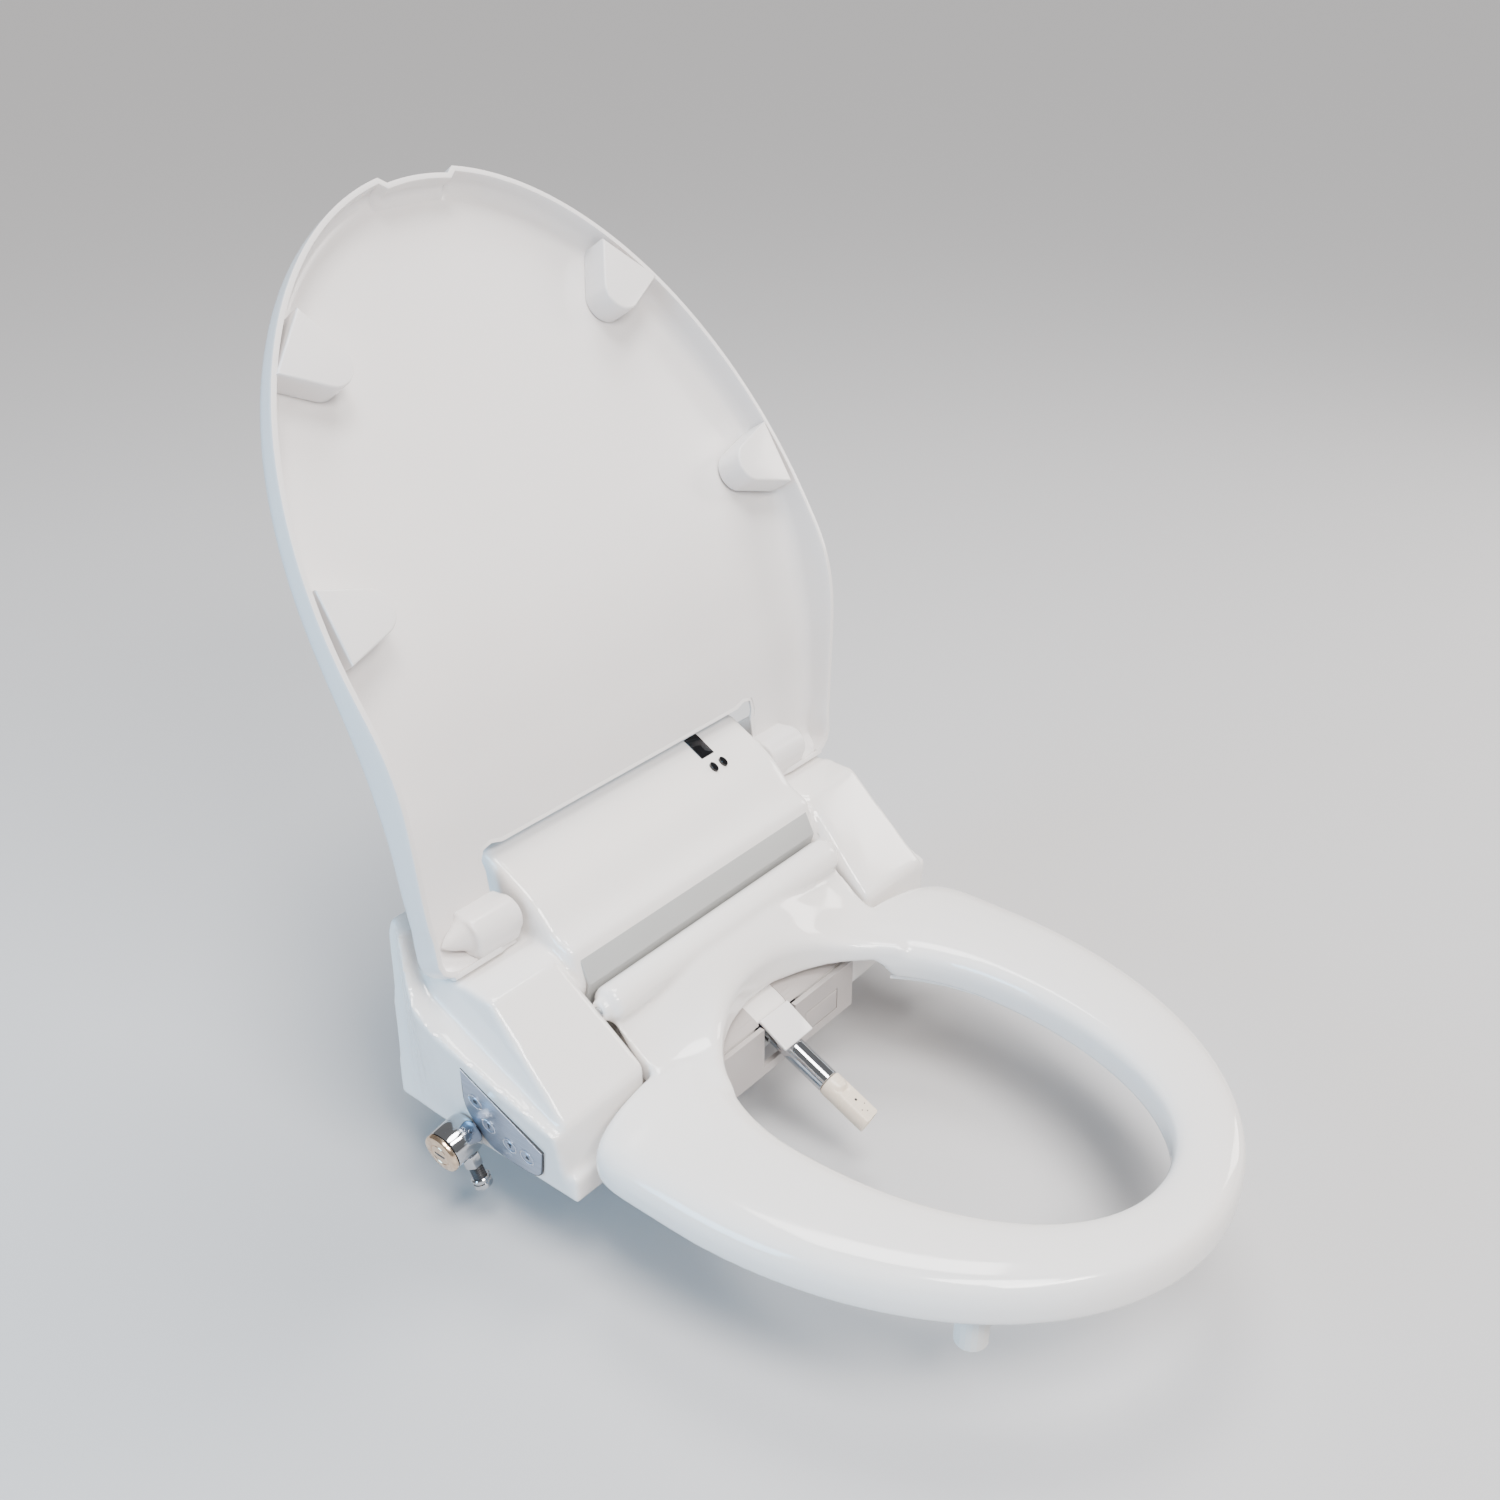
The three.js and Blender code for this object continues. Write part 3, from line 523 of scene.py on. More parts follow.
def pulled(points, reach):    # a flat face through the points, pulled into a solid
    bm = bmesh.new()
    face = bm.faces.new([bm.verts.new(point) for point in points])
    made = bmesh.ops.extrude_face_region(bm, geom=[face])["geom"]
    bmesh.ops.translate(bm, verts=[g for g in made if isinstance(g, bmesh.types.BMVert)], vec=reach)
    bmesh.ops.recalc_face_normals(bm, faces=bm.faces)
    return bm


def fromProfile(profile, low, high):    # a side profile (y, z) from one x to another
    return pulled([(low, y, z) for y, z in profile], (high - low, 0, 0))


def fromPlan(outline, low, high):    # a plan outline (x, y) from one height to another
    return pulled([(x, y, low) for x, y in outline], (0, 0, high - low))


def box(low, high):
    bm = bmesh.new()
    low, high = Vector(low), Vector(high)
    place = Matrix.Translation((low + high) / 2) @ Matrix.Diagonal((*(high - low), 1))
    bmesh.ops.create_cube(bm, size=1, matrix=place)
    return bm


def rod(radius, start, end, segments=48):
    bm = bmesh.new()
    start, end = Vector(start), Vector(end)
    turn = Matrix.Translation((start + end) / 2) @ (end - start).to_track_quat("Z", "Y").to_matrix().to_4x4()
    bmesh.ops.create_cone(bm, cap_ends=True, segments=segments, radius1=radius, radius2=radius,
                          depth=(end - start).length, matrix=turn)
    return bm


def lathe(profile, origin, direction, steps=48):    # (radius, height) turned about the direction
    bm = bmesh.new()
    verts = [bm.verts.new((r, 0, h)) for r, h in profile]
    edges = [bm.edges.new(ends) for ends in zip(verts, verts[1:])]
    bmesh.ops.spin(bm, geom=verts + edges, axis=(0, 0, 1), cent=(0, 0, 0), angle=math.tau, steps=steps,
                   use_merge=True)
    bmesh.ops.remove_doubles(bm, verts=bm.verts, dist=0.002)
    turn = Matrix.Translation(Vector(origin)) @ Vector(direction).to_track_quat("Z", "Y").to_matrix().to_4x4()
    bmesh.ops.transform(bm, matrix=turn, verts=bm.verts)
    bmesh.ops.recalc_face_normals(bm, faces=bm.faces)
    return bm


def bevelEdges(bm, width, segments=3, angle=0.6, chosen=None):
    edges = [e for e in bm.edges if len(e.link_faces) == 2 and e.calc_face_angle(0) > angle]
    if chosen:
        edges = [e for e in edges if chosen(e)]
    bmesh.ops.bevel(bm, geom=edges, offset=width, segments=segments, affect="EDGES", profile=0.5, material=-1,
                    offset_type="OFFSET", clamp_overlap=True)
    return bm


def softEdges(piece, width, segments=3, angle=35):
    modifier = piece.modifiers.new("softEdges", "BEVEL")
    modifier.width = width * mm
    modifier.segments = segments
    modifier.limit_method = "ANGLE"
    modifier.angle_limit = math.radians(angle)
    modifier.use_clamp_overlap = True


def bothSides(build):
    return [build(side) for side in (1, -1)]


def mirrorX(bm):
    bmesh.ops.scale(bm, vec=(-1, 1, 1), verts=bm.verts)
    bmesh.ops.reverse_faces(bm, faces=bm.faces)
    return bm


# The lid is drawn closed and stood open about its hinge
lid = {
    "half": 207.6, "wideY": -185, "tipY": -460.6, "rearHalf": 195, "wall": 3.4,
    "shoulder": 14, "lip": 3, "rearY": 4, "notchHalf": 132, "notchY": -57.5, "notchDrop": 0.6,
    "notchCorner": 15, "rearCorner": 10, "tipHalf": 44, "fingerHalf": 27, "fingerDepth": 5,
    "open": 123, "axis": (0, -15, 137), "tipSteps": 44, "innerColumns": 14, "outerColumns": 8,
    # side profiles (y, z) of the top face and of the lower edge
    "top": [(-461, 77.5), (-450, 82), (-420, 84), (-330, 85.6), (-240, 86), (-200, 87), (-170, 90),
            (-140, 96), (-115, 104), (-90, 114), (-57, 131.6), (-30, 144.6), (-15, 150), (-6, 147.5),
            (4, 138)],
    "edge": [(-461, 60.2), (-300, 60.2), (-170, 60.2), (-148, 60.8), (-130, 63.4), (-107, 71), (-80, 85.6),
             (-50, 104), (-20, 121), (4, 134)],
}
standOpen = (Matrix.Translation(lid["axis"]) @ Matrix.Rotation(math.radians(-lid["open"]), 4, "X")
             @ Matrix.Translation(-Vector(lid["axis"])))
lidTop = curveThrough(lid["top"], 6)


def lidHalf(y):
    if y > lid["wideY"]:
        span = (y - lid["wideY"]) / (lid["rearY"] - lid["wideY"])
        return lid["half"] - (lid["half"] - lid["rearHalf"]) * min(span, 1) ** 1.6
    reach = (y - lid["wideY"]) / (lid["tipY"] - lid["wideY"])
    return lid["half"] * math.sqrt(max(1 - reach * reach, 0))


def shoulderAt(y):
    return lid["lip"] + (lid["shoulder"] - lid["lip"]) * smoothStep(-2, -34, y)


def lidRows():
    rear = lid["rearY"] - lid["lip"]
    rows = [rear, rear - 1.2, rear - 3, rear - 6, rear - 10, rear - 15]
    notchRow = lid["notchY"] - lid["lip"]
    rows += [rear - 15 + (notchRow - rear + 15) * i / 6 for i in range(1, 7)]
    rows += [notchRow + (lid["wideY"] - notchRow) * i / 18 for i in range(1, 19)]
    return rows


def buildLidShell():    # a grid laid over the top face, its rear notch cut out and its edge rolled down
    bm = bmesh.new()
    rows, tipSteps = lidRows(), lid["tipSteps"]
    inner, outer = lid["innerColumns"], lid["outerColumns"]
    columns = 2 * (inner + outer)
    tipReach = -lid["tipY"] + lid["wideY"] - lid["shoulder"]
    wide = lid["half"] - lid["shoulder"]
    tipAngle = math.acos(lid["tipHalf"] / wide)
    corner = lid["rearCorner"]
    rowCount = len(rows) - 1 + tipSteps
    bmesh.ops.create_grid(bm, x_segments=columns, y_segments=rowCount, size=1)
    for v in bm.verts:
        column = round((v.co.x + 1) / 2 * columns) - (inner + outer)
        row = round((1 - v.co.y) / 2 * rowCount)
        if row < len(rows):
            y = rows[row]
            half = lidHalf(y) - shoulderAt(y)
            cut = max(0, y + corner + 1)
            half -= corner - math.sqrt(max(corner ** 2 - cut * cut, 0))
            bow = 0
        else:
            share = (row - len(rows) + 1) / tipSteps
            angle = tipAngle * (1 - (1 - share) ** 1.15)
            y = lid["wideY"] - tipReach * math.sin(angle)
            half = wide * math.cos(angle)
            bow = (lid["tipY"] + lid["shoulder"] - y) * share ** 5
        tab = min(lid["notchHalf"] + lid["lip"], 0.79 * half)
        size = abs(column)
        x = tab * size / inner if size <= inner else tab + (half - tab) * (size - inner) / outer
        x *= math.copysign(1, column)
        y += bow * (1 - (x / half) ** 2)
        v.co = (x, y, valueAt(lidTop, y))
    middle = lid["notchHalf"] + lid["lip"] - 1
    notchRow = lid["notchY"] - lid["lip"] + 0.5
    gone = [f for f in bm.faces
            if abs(f.calc_center_median().x) < middle and f.calc_center_median().y > notchRow]
    bmesh.ops.delete(bm, geom=gone, context="FACES")
    for side in (1, -1):
        notchCorner = Vector((side * (lid["notchHalf"] + lid["lip"]), lid["notchY"] - lid["lip"]))
        near = [v for v in bm.verts if (v.co.xy - notchCorner).length < lid["notchCorner"]]
        for _ in range(9):
            bmesh.ops.smooth_vert(bm, verts=near, factor=0.5, use_axis_x=True, use_axis_y=True)
    for v in bm.verts:
        v.co.z = valueAt(lidTop, v.co.y)
    sweepEdge(bm)
    return bm


def outwardNormals(edges):    # the direction out of the sheet, in plan, at each vertex of its edge
    found = {}
    for e in edges:
        face = e.link_faces[0]
        along = e.verts[1].co - e.verts[0].co
        normal = Vector((along.y, -along.x, 0))
        if normal.length < 1e-9:
            continue
        normal.normalize()
        if normal.dot((e.verts[0].co + e.verts[1].co) / 2 - face.calc_center_median()) < 0:
            normal.negate()
        for v in e.verts:
            found.setdefault(v, []).append(normal)
    result = {}
    for v, normals in found.items():
        total = sum(normals, Vector()).normalized()
        result[v] = total / max(total.dot(normals[0]), 0.5)
    return result


def extrudeEdge(bm, edges):
    made = bmesh.ops.extrude_edge_only(bm, edges=edges)["geom"]
    newEdges = [g for g in made if isinstance(g, bmesh.types.BMEdge) and len(g.link_faces) == 1]
    pairs = {}
    for v in (g for g in made if isinstance(g, bmesh.types.BMVert)):
        for e in v.link_edges:
            if e.other_vert(v) not in made:
                pairs[v] = e.other_vert(v)
    return newEdges, pairs


def sweepEdge(bm):
    edges = [e for e in bm.edges if e.is_boundary]
    normals = outwardNormals(edges)
    cornerX, cornerY = lid["notchHalf"] + lid["lip"], lid["notchY"] - lid["lip"]
    info = {}
    for v, normal in normals.items():
        inNotch = abs(v.co.x) < cornerX + 9 and v.co.y > cornerY - 9
        atHinge = abs(v.co.x) < 150 and v.co.y > -6
        radius = lid["lip"] if inNotch or atHinge else shoulderAt(v.co.y)
        info[v] = (v.co.copy(), normal, radius, inNotch)
    steps = 7
    for i in range(1, steps + 1):
        angle = math.pi / 2 * i / steps
        edges, pairs = extrudeEdge(bm, edges)
        fresh = {}
        for v, old in pairs.items():
            start, normal, radius, inNotch = info[old]
            reach = start + normal * radius * math.sin(angle)
            v.co = (reach.x, reach.y, valueAt(lidTop, start.y) - radius * (1 - math.cos(angle)))
            fresh[v] = info[old]
        info = fresh
    edgeCurve = curveThrough(lid["edge"], 5)
    for share in (0.35, 0.7, 1):
        edges, pairs = extrudeEdge(bm, edges)
        fresh = {}
        for v, old in pairs.items():
            start, normal, radius, inNotch = info[old]
            top = valueAt(lidTop, start.y) - radius
            low = valueAt(edgeCurve, old.co.y)
            if inNotch:
                low = max(low, top - lid["notchDrop"])
            v.co = (old.co.x, old.co.y, top + (min(low, top - 0.5) - top) * share)
            fresh[v] = info[old]
        info = fresh
    front = [v for v in bm.verts if v.co.y < -440 and abs(v.co.x) < 40]
    for v in front:    # the finger recess at the tip
        inside = 1 - smoothStep(lid["fingerHalf"] - 1.5, lid["fingerHalf"] + 2, abs(v.co.x))
        depth = smoothStep(-444, -455, v.co.y)
        v.co.y += lid["fingerDepth"] * inside * depth


def buildLid():
    shell = makePiece("lidShell", buildLidShell(), "lid", "lidWhite", ("lid_shell",),
                      turn=standOpen, merge=0.05)
    wall = shell.modifiers.new("wall", "SOLIDIFY")
    wall.thickness = lid["wall"] * mm
    wall.offset = -1
    wall.use_even_offset = True
    softEdges(shell, 0.9, 2, 50)

    buildKnuckles()
    buildLidStops()


knuckle = {
    "side": 127, "axis": (-15, 137), "webInner": 129, "webOuter": 163, "voxel": 0.9, "rounds": 5,
    "barrel": [(0, 0), (11.5, 0), (12.9, 0.5), (13.4, 2), (13.4, 36), (12.8, 37.6), (11, 38), (0, 38)],
    "web": [(-33, 141), (-27, 130), (-20, 124.6), (-15, 123.8), (-8, 125.4), (-1, 132), (3, 137),
            (-6, 146), (-15, 148.6), (-30, 142)],
    "scoop": [(0, 0), (12.5, 0), (10.5, 3), (8, 7), (5, 13), (0.5, 19), (0, 19)],
    "scoopPlace": (162, -17, 139), "scoopLean": (1, 0.02, 0.12),
}


def buildKnuckles():
    parts = []
    for side in (1, -1):
        parts.append(lathe(knuckle["barrel"], (side * knuckle["side"], *knuckle["axis"]), (side, 0, 0), 40))
        web = fromProfile(knuckle["web"], knuckle["webInner"], knuckle["webOuter"])
        bevelEdges(web, 1.6, 2, 0.9)
        parts.append(web if side > 0 else mirrorX(web))
        (x, y, z), (ahead, *lean) = knuckle["scoopPlace"], knuckle["scoopLean"]
        parts.append(lathe(knuckle["scoop"], (side * x, y, z), (side * ahead, *lean), 32))
    makePiece("lidKnuckles", fuse(parts, knuckle["voxel"], knuckle["rounds"]), "lid", "lidWhite",
              turn=standOpen, merge=0)


lidStop = {
    "radius": 14.5, "noseX": -13, "outerX": 15, "outerHalf": 23.5, "sweep": (248, 112), "steps": 12,
    "low": 58.4, "high": 81, "round": 1.5,
    # x, y and turn of the right-hand pad
    "pairs": {"rear": (184, -214, 0), "front": (132, -364, 44)},
}


def buildLidStops():
    first, last = lidStop["sweep"]
    outline = [(lidStop["outerX"], -lidStop["outerHalf"])]
    for i in range(lidStop["steps"] + 1):
        angle = math.radians(first + (last - first) * i / lidStop["steps"])
        outline.append((lidStop["noseX"] + lidStop["radius"] * math.cos(angle),
                        lidStop["radius"] * math.sin(angle)))
    outline.append((lidStop["outerX"], lidStop["outerHalf"]))
    for place, (x, y, turn) in lidStop["pairs"].items():
        for hand, side in (("right", 1), ("left", -1)):
            pad = fromPlan(outline, lidStop["low"], lidStop["high"])
            bmesh.ops.rotate(pad, verts=pad.verts, cent=(0, 0, 0),
                             matrix=Matrix.Rotation(math.radians(-turn), 3, "Z"))
            bmesh.ops.translate(pad, verts=pad.verts, vec=(x, y, 0))
            if side < 0:
                mirrorX(pad)
            bevelEdges(pad, lidStop["round"], 4, 0.9, lambda e: max(v.co.z for v in e.verts) < 60)
            makePiece(f"lidStop_{place}_{hand}", pad, "lid", "lidWhite",
                      (f"lid_buffer_{place}_{hand}",), turn=standOpen)


buildLid()
print("lid made")


# Where the nozzle's tip stands, its slope in degrees, and its sizes; the housing is cut to clear it
nozzle = {
    "tilt": 24, "place": (0, -193, -7.5), "tube": 8.5, "length": 152, "flat": 2.4,
    # the tip's (radius, height) along the nozzle, from the bore at its end to the tube
    "tip": [(0, -13), (6.6, -13), (6.6, -18.9), (8.2, -18.9), (8.8, -18.3), (9, -17.4),
            *[(9, -16.6 + 1.1 * i) for i in range(31)], (9, 17.6), (8.8, 18.4), (8.3, 18.9), (3, 18.9),
            (0, 18.9)],
    # radius, place (x, along), top and sides of the outlets, which start at outletLow; they are dark rods,
    # painted shade for the holes
    "outlets": [(0.95, 0, -3, 6.75, 20), (0.45, -2.6, -11, 6.7, 12), (0.45, 0.2, -13.5, 6.7, 12),
                (0.45, 2.9, -8.6, 6.7, 12)],
    "outletLow": 6,
}


housing = {
    "side": 123.6, "armInner": 119, "armOuter": 188, "ledgeOuter": 205.6, "voxel": 1.8, "rounds": 7,
    # side profiles (y, z)
    "crest": [(-64.2, 119.4), (-62, 123), (-57.5, 125.4), (-52, 127.6), (-46, 132), (-40, 138.2),
              (-31, 147), (-20, 154), (-10, 159.4), (0, 164.4), (5.5, 167.6), (10, 169.4), (15, 168.6),
              (20, 164.4), (26, 156), (31.5, 144), (34.4, 130), (36.6, 100)],
    "recess": [(-66.9, 3), (-66.9, 88), (-69.6, 99.5)],
    "deck": [(-127.6, 33), (-124.6, 36), (-117, 39.8), (-110, 42.6), (-98, 57.6), (-90, 62.6), (-66, 68.6)],
    "arm": [(-127.2, 3.2), (-127.2, 22), (-121, 23.4), (-120.4, 59), (-119.6, 62.8), (-57.4, 119.8),
            (-33, 121), (-30, 119.2), (5, 119.2), (9.4, 123), (11.9, 142.6), (31.6, 142.6), (35.6, 131),
            (36.6, 3.2)],
    "ledge": [(-127.2, 3.2), (-127.2, 22), (-120, 23.4), (-119.2, 55.6), (-21, 93.6), (-6, 100.6), (3, 110.6),
              (8.6, 124.6), (11.9, 142.6), (31.6, 142.6), (35.6, 131), (36.6, 3.2)],
    "hollow": [(-124, -2), (-124, 28), (-116, 33), (-108, 37), (-96, 52), (-88, 57), (-63.4, 61), (-63.4, 88),
               (-65.8, 99), (-60.5, 113), (-50, 122), (-38, 132), (-26, 142), (-8, 152), (6, 160), (13, 160),
               (21, 148), (27, 132), (31, 100), (33, -2)],
    "armHollow": [(-123.5, -2), (-123.5, 19), (-117, 21), (-116.5, 56), (-54, 114.5), (-34, 115), (5, 113.5),
                  (14, 121), (15.5, 138), (28, 138), (31.6, 128), (33, -2)],
    # how far the side stands out (x) along the housing (y)
    "plan": [(-140, 206.6), (-22, 206.6), (-4, 203.6), (12, 195.6), (26, 185.6), (39, 171.6)],
    "planCuts": (-119, -60, -22, -12, -4, 4, 12, 19, 26, 32),
    "armLean": 11, "armFoot": 190, "armTaper": 4.5, "edge": 4.5,
    # how far across (x) the deck's parts and the hollows reach, around the nozzle's doorway and the flap
    "deckLeft": (-121, -18), "deckRight": (29, 121), "deckEnd": (72, 121), "deckOver": (-19, 31),
    "hollowHalf": 118, "armHollowSpan": (122, 183),
    "channel": 9.7, "channelBack": 20, "channelDeep": 150,
}


def drafted(bm):    # leans the outer wall and rounds the plan towards the back
    for y in housing["planCuts"]:
        bmesh.ops.bisect_plane(bm, geom=bm.verts[:] + bm.edges[:] + bm.faces[:], plane_co=(0, y, 0),
                               plane_no=(0, 1, 0), dist=0.001)
    plan = [Vector(p) for p in housing["plan"]]
    for v in bm.verts:
        if abs(v.co.x) < 186:
            continue
        leaned = housing["armFoot"] + v.co.z * math.tan(draft)
        size = min(leaned, valueAt(plan, v.co.y), housing["ledgeOuter"])
        if v.co.y < -118:    # the front corner is turned in
            size -= 1.2 * (-118 - v.co.y)
        v.co.x = math.copysign(size, v.co.x)
    return bm


def armBlock(side):
    inner, outer = housing["armInner"], housing["armOuter"]
    bm = fromProfile(housing["arm"], inner, outer)
    for v in bm.verts:
        if v.co.x > 180:    # the outer wall, which leans in and falls a little at the front
            v.co.x = housing["armFoot"] - housing["armTaper"] * smoothStep(59, 119, v.co.z)
            if v.co.y < -110 and v.co.z > 40:
                v.co.z -= 3
        elif v.co.y < -40 and v.co.z > 60:    # the inner wall leans out ahead of the hinge
            v.co.x = inner + housing["armLean"] * smoothStep(60, 120, v.co.z)
    top = [e for e in bm.edges if min(v.co.z for v in e.verts) > 50]
    bmesh.ops.bevel(bm, geom=[e for e in top if e.calc_face_angle(0) > 0.5], offset=housing["edge"],
                    segments=4, affect="EDGES", profile=0.5, material=-1, clamp_overlap=True)
    return bm if side > 0 else mirrorX(bm)


def ledgeBlock(side):
    bm = fromProfile(housing["ledge"], housing["armInner"] + 1, housing["ledgeOuter"])
    drafted(bm)
    bevelEdges(bm, 3, 3, 0.5, lambda e: min(abs(v.co.x) for v in e.verts) > 168)
    return bm if side > 0 else mirrorX(bm)


def buildHousing():
    side = housing["side"]
    crest = [tuple(p) for p in curveThrough(housing["crest"], 4)]
    console = fromProfile([*housing["recess"], *crest, (36.6, 3)], -side, side)
    bevelEdges(console, housing["edge"], 4, 0.9, lambda e: min(abs(v.co.x) for v in e.verts) > side - 1)
    deck = housing["deck"]
    front, back = deck[0][0], -60
    under = [(y + 1, z - 4) for y, z in reversed(deck[1:-1])]
    parts = [
        console,
        fromProfile([(front, 3), *deck, (back, 68), (back, 3)], *housing["deckLeft"]),
        fromProfile([(front, 23), *deck, (back, 68), (back, 23)], *housing["deckRight"]),
        fromProfile([(front, 3), (front, 24), (back, 24), (back, 3)], *housing["deckEnd"]),
        fromProfile([*deck, (back, 68), (back, 62), *under, (front, 30.5)], *housing["deckOver"]),
        *bothSides(armBlock),
        *bothSides(ledgeBlock),
    ]
    cover = fuse(parts, housing["voxel"], housing["rounds"])
    half, (near, far) = housing["hollowHalf"], housing["armHollowSpan"]
    inside = [fromProfile(housing["hollow"], -half, half), fromProfile(housing["armHollow"], near, far),
              fromProfile(housing["armHollow"], -far, -near)]
    cover = carve(cover, gather(inside))
    tilt = math.radians(nozzle["tilt"])
    start, along = Vector(nozzle["place"]), Vector((0, math.cos(tilt), math.sin(tilt)))
    channel = rod(housing["channel"], start - along * housing["channelBack"],
                  start + along * housing["channelDeep"], 48)
    cover = carve(cover, channel)
    makePiece("topCover", cover, "housing", "white", ("top_cover",), merge=0)


buildHousing()
print("housing made")


# The seat is a ring, a bridge behind its hole, and the roll that turns on the hinge pins
seat = {
    "half": 189.8, "wideY": -201, "tipY": -451.8, "rearY": -123.2, "bottom": 28.6,
    "holeHalf": 108, "holeWideY": -239, "holeRearY": -116, "holeTipY": -411,
    # the ring's section: share of the way from the hole to the outside, and height over the bottom
    "section": [(0.03, 0), (0, 12), (0, 19), (0.025, 23.4), (0.07, 26.4), (0.14, 28.2), (0.28, 29.2),
                (0.48, 29.4), (0.66, 29), (0.79, 28), (0.875, 26.2), (0.94, 23), (0.98, 18.6), (1, 13),
                (1, 5), (0.985, 0)],
    "around": 176, "holePower": 2.1, "frontPower": 2.02, "rearPower": 7, "lift": 16.6, "rearRim": 9,
    # the bridge's top in the middle and at its sides, and its underside, as (y, z)
    "middle": [(-176, 57.4), (-160, 57.8), (-150, 58.8), (-140, 61), (-130, 65), (-120, 71), (-112, 77.6),
               (-104, 85.4), (-98, 90.8), (-92, 95.4), (-85, 97)],
    "side": [(-176, 56.6), (-150, 56.8), (-135, 57.4), (-125, 59.4), (-115, 64), (-107, 70), (-100, 75),
             (-95, 78), (-90, 81), (-85, 81)],
    "under": [(-176, 43.4), (-150, 43.4), (-116, 45.4), (-108, 58.4), (-92, 78), (-85, 80)],
    "nose": [(0, 14), (0, 7), (1, 3.6), (3, 1.6), (6, 0.5), (10, 0)],    # distance from the hole, drop
    "bridgeHalf": 116.6, "bridgeColumns": 60, "bridgeRows": 24,
    "rollRadius": 12.8, "rollHalf": 116.4, "axis": (-85, 88.5), "voxel": 1.65, "rounds": 6,
}


def ovalPoint(half, wideY, reach, angle, power):
    c, s = math.cos(angle), math.sin(angle)
    return (math.copysign(half * abs(c) ** (2 / power), c),
            wideY + math.copysign(reach * abs(s) ** (2 / power), s))


def ringEdges(angle):    # the hole's edge and the seat's outer edge at one angle
    front = math.sin(angle) < 0
    holeReach = seat["holeWideY"] - seat["holeTipY"] if front else seat["holeRearY"] - seat["holeWideY"]
    reach = seat["wideY"] - seat["tipY"] if front else seat["rearY"] - seat["wideY"]
    power = seat["frontPower"] if front else seat["rearPower"]
    inner = ovalPoint(seat["holeHalf"], seat["holeWideY"], holeReach, angle, seat["holePower"])
    outer = ovalPoint(seat["half"], seat["wideY"], reach, angle, power)
    if abs(outer[0]) < 100 and not front:    # a rim is left behind the hole
        outer = (outer[0], max(outer[1], inner[1] + seat["rearRim"]))
    return inner, outer


def seatRing():
    section, around = seat["section"], seat["around"]
    edges = [ringEdges(math.tau * i / around) for i in range(around)]
    bm = bmesh.new()
    bmesh.ops.create_grid(bm, x_segments=len(section), y_segments=around, size=1)
    for v in bm.verts:    # the grid is rolled round the section and round the hole, and its seams merge
        share, height = section[round((v.co.x + 1) / 2 * len(section)) % len(section)]
        inner, outer = edges[round((v.co.y + 1) / 2 * around) % around]
        x = inner[0] + (outer[0] - inner[0]) * share
        y = inner[1] + (outer[1] - inner[1]) * share
        lift = seat["lift"] * smoothStep(-166, -151, y) * (1 - smoothStep(92, 108, abs(x)))
        v.co = (x, y, seat["bottom"] + (max(height, lift) if height < 20 else height))
    bmesh.ops.remove_doubles(bm, verts=bm.verts, dist=0.001)
    bmesh.ops.recalc_face_normals(bm, faces=bm.faces)
    return bm


def holeRear(x):
    size = min(abs(x) / seat["holeHalf"], 1)
    power = seat["holePower"]
    return seat["holeWideY"] + (seat["holeRearY"] - seat["holeWideY"]) * (1 - size ** power) ** (1 / power)


def bridgeBlock():
    middle, side, under = (curveThrough(seat[k], 4) for k in ("middle", "side", "under"))
    nose, columns, backRows = seat["nose"], seat["bridgeColumns"], seat["bridgeRows"]
    rows = len(nose) + backRows
    bm = bmesh.new()
    bmesh.ops.create_grid(bm, x_segments=columns, y_segments=rows - 1, size=1)
    made = bmesh.ops.extrude_face_region(bm, geom=bm.faces[:])["geom"]
    below = {g for g in made if isinstance(g, bmesh.types.BMVert)}
    for v in bm.verts:
        x = seat["bridgeHalf"] * v.co.x
        row = round((v.co.y + 1) / 2 * (rows - 1))
        begin = max(holeRear(x), -172)
        if row < len(nose):
            y, drop = begin + nose[row][0], nose[row][1]
        else:
            start = begin + nose[-1][0]
            y, drop = start + (seat["axis"][0] - start) * (row - len(nose) + 1) / backRows, 0
        low = valueAt(under, y)
        weight = smoothStep(38, 104, abs(x))
        top = valueAt(middle, y) * (1 - weight) + valueAt(side, y) * weight
        v.co = (x, y, low if v in below else max(top - drop, low + 0.6))
    bmesh.ops.remove_doubles(bm, verts=bm.verts, dist=0.001)
    bmesh.ops.recalc_face_normals(bm, faces=bm.faces)
    return bm


def buildSeat():
    y, z = seat["axis"]
    r, half = seat["rollRadius"], seat["rollHalf"]
    ends = [(0, -6), (6.8, -6), (7.6, -5), (7.6, 0), (r - 4, 0), (r - 1.4, 1.2), (r, 4), (r, 2 * half - 4),
            (r - 1.4, 2 * half - 1.2), (r - 4, 2 * half), (7.6, 2 * half), (7.6, 2 * half + 5),
            (6.8, 2 * half + 6), (0, 2 * half + 6)]
    roll = lathe(ends, (-half, y, z), (1, 0, 0), 44)
    shell = fuse([seatRing(), bridgeBlock(), roll], seat["voxel"], seat["rounds"])
    makePiece("seatShell", shell, "seat", "white", ("seat_upper_shell",), merge=0)


buildSeat()
print("seat made")


onWand = (Matrix.Translation(nozzle["place"])
          @ Matrix.Rotation(math.radians(nozzle["tilt"]), 4, "X"))


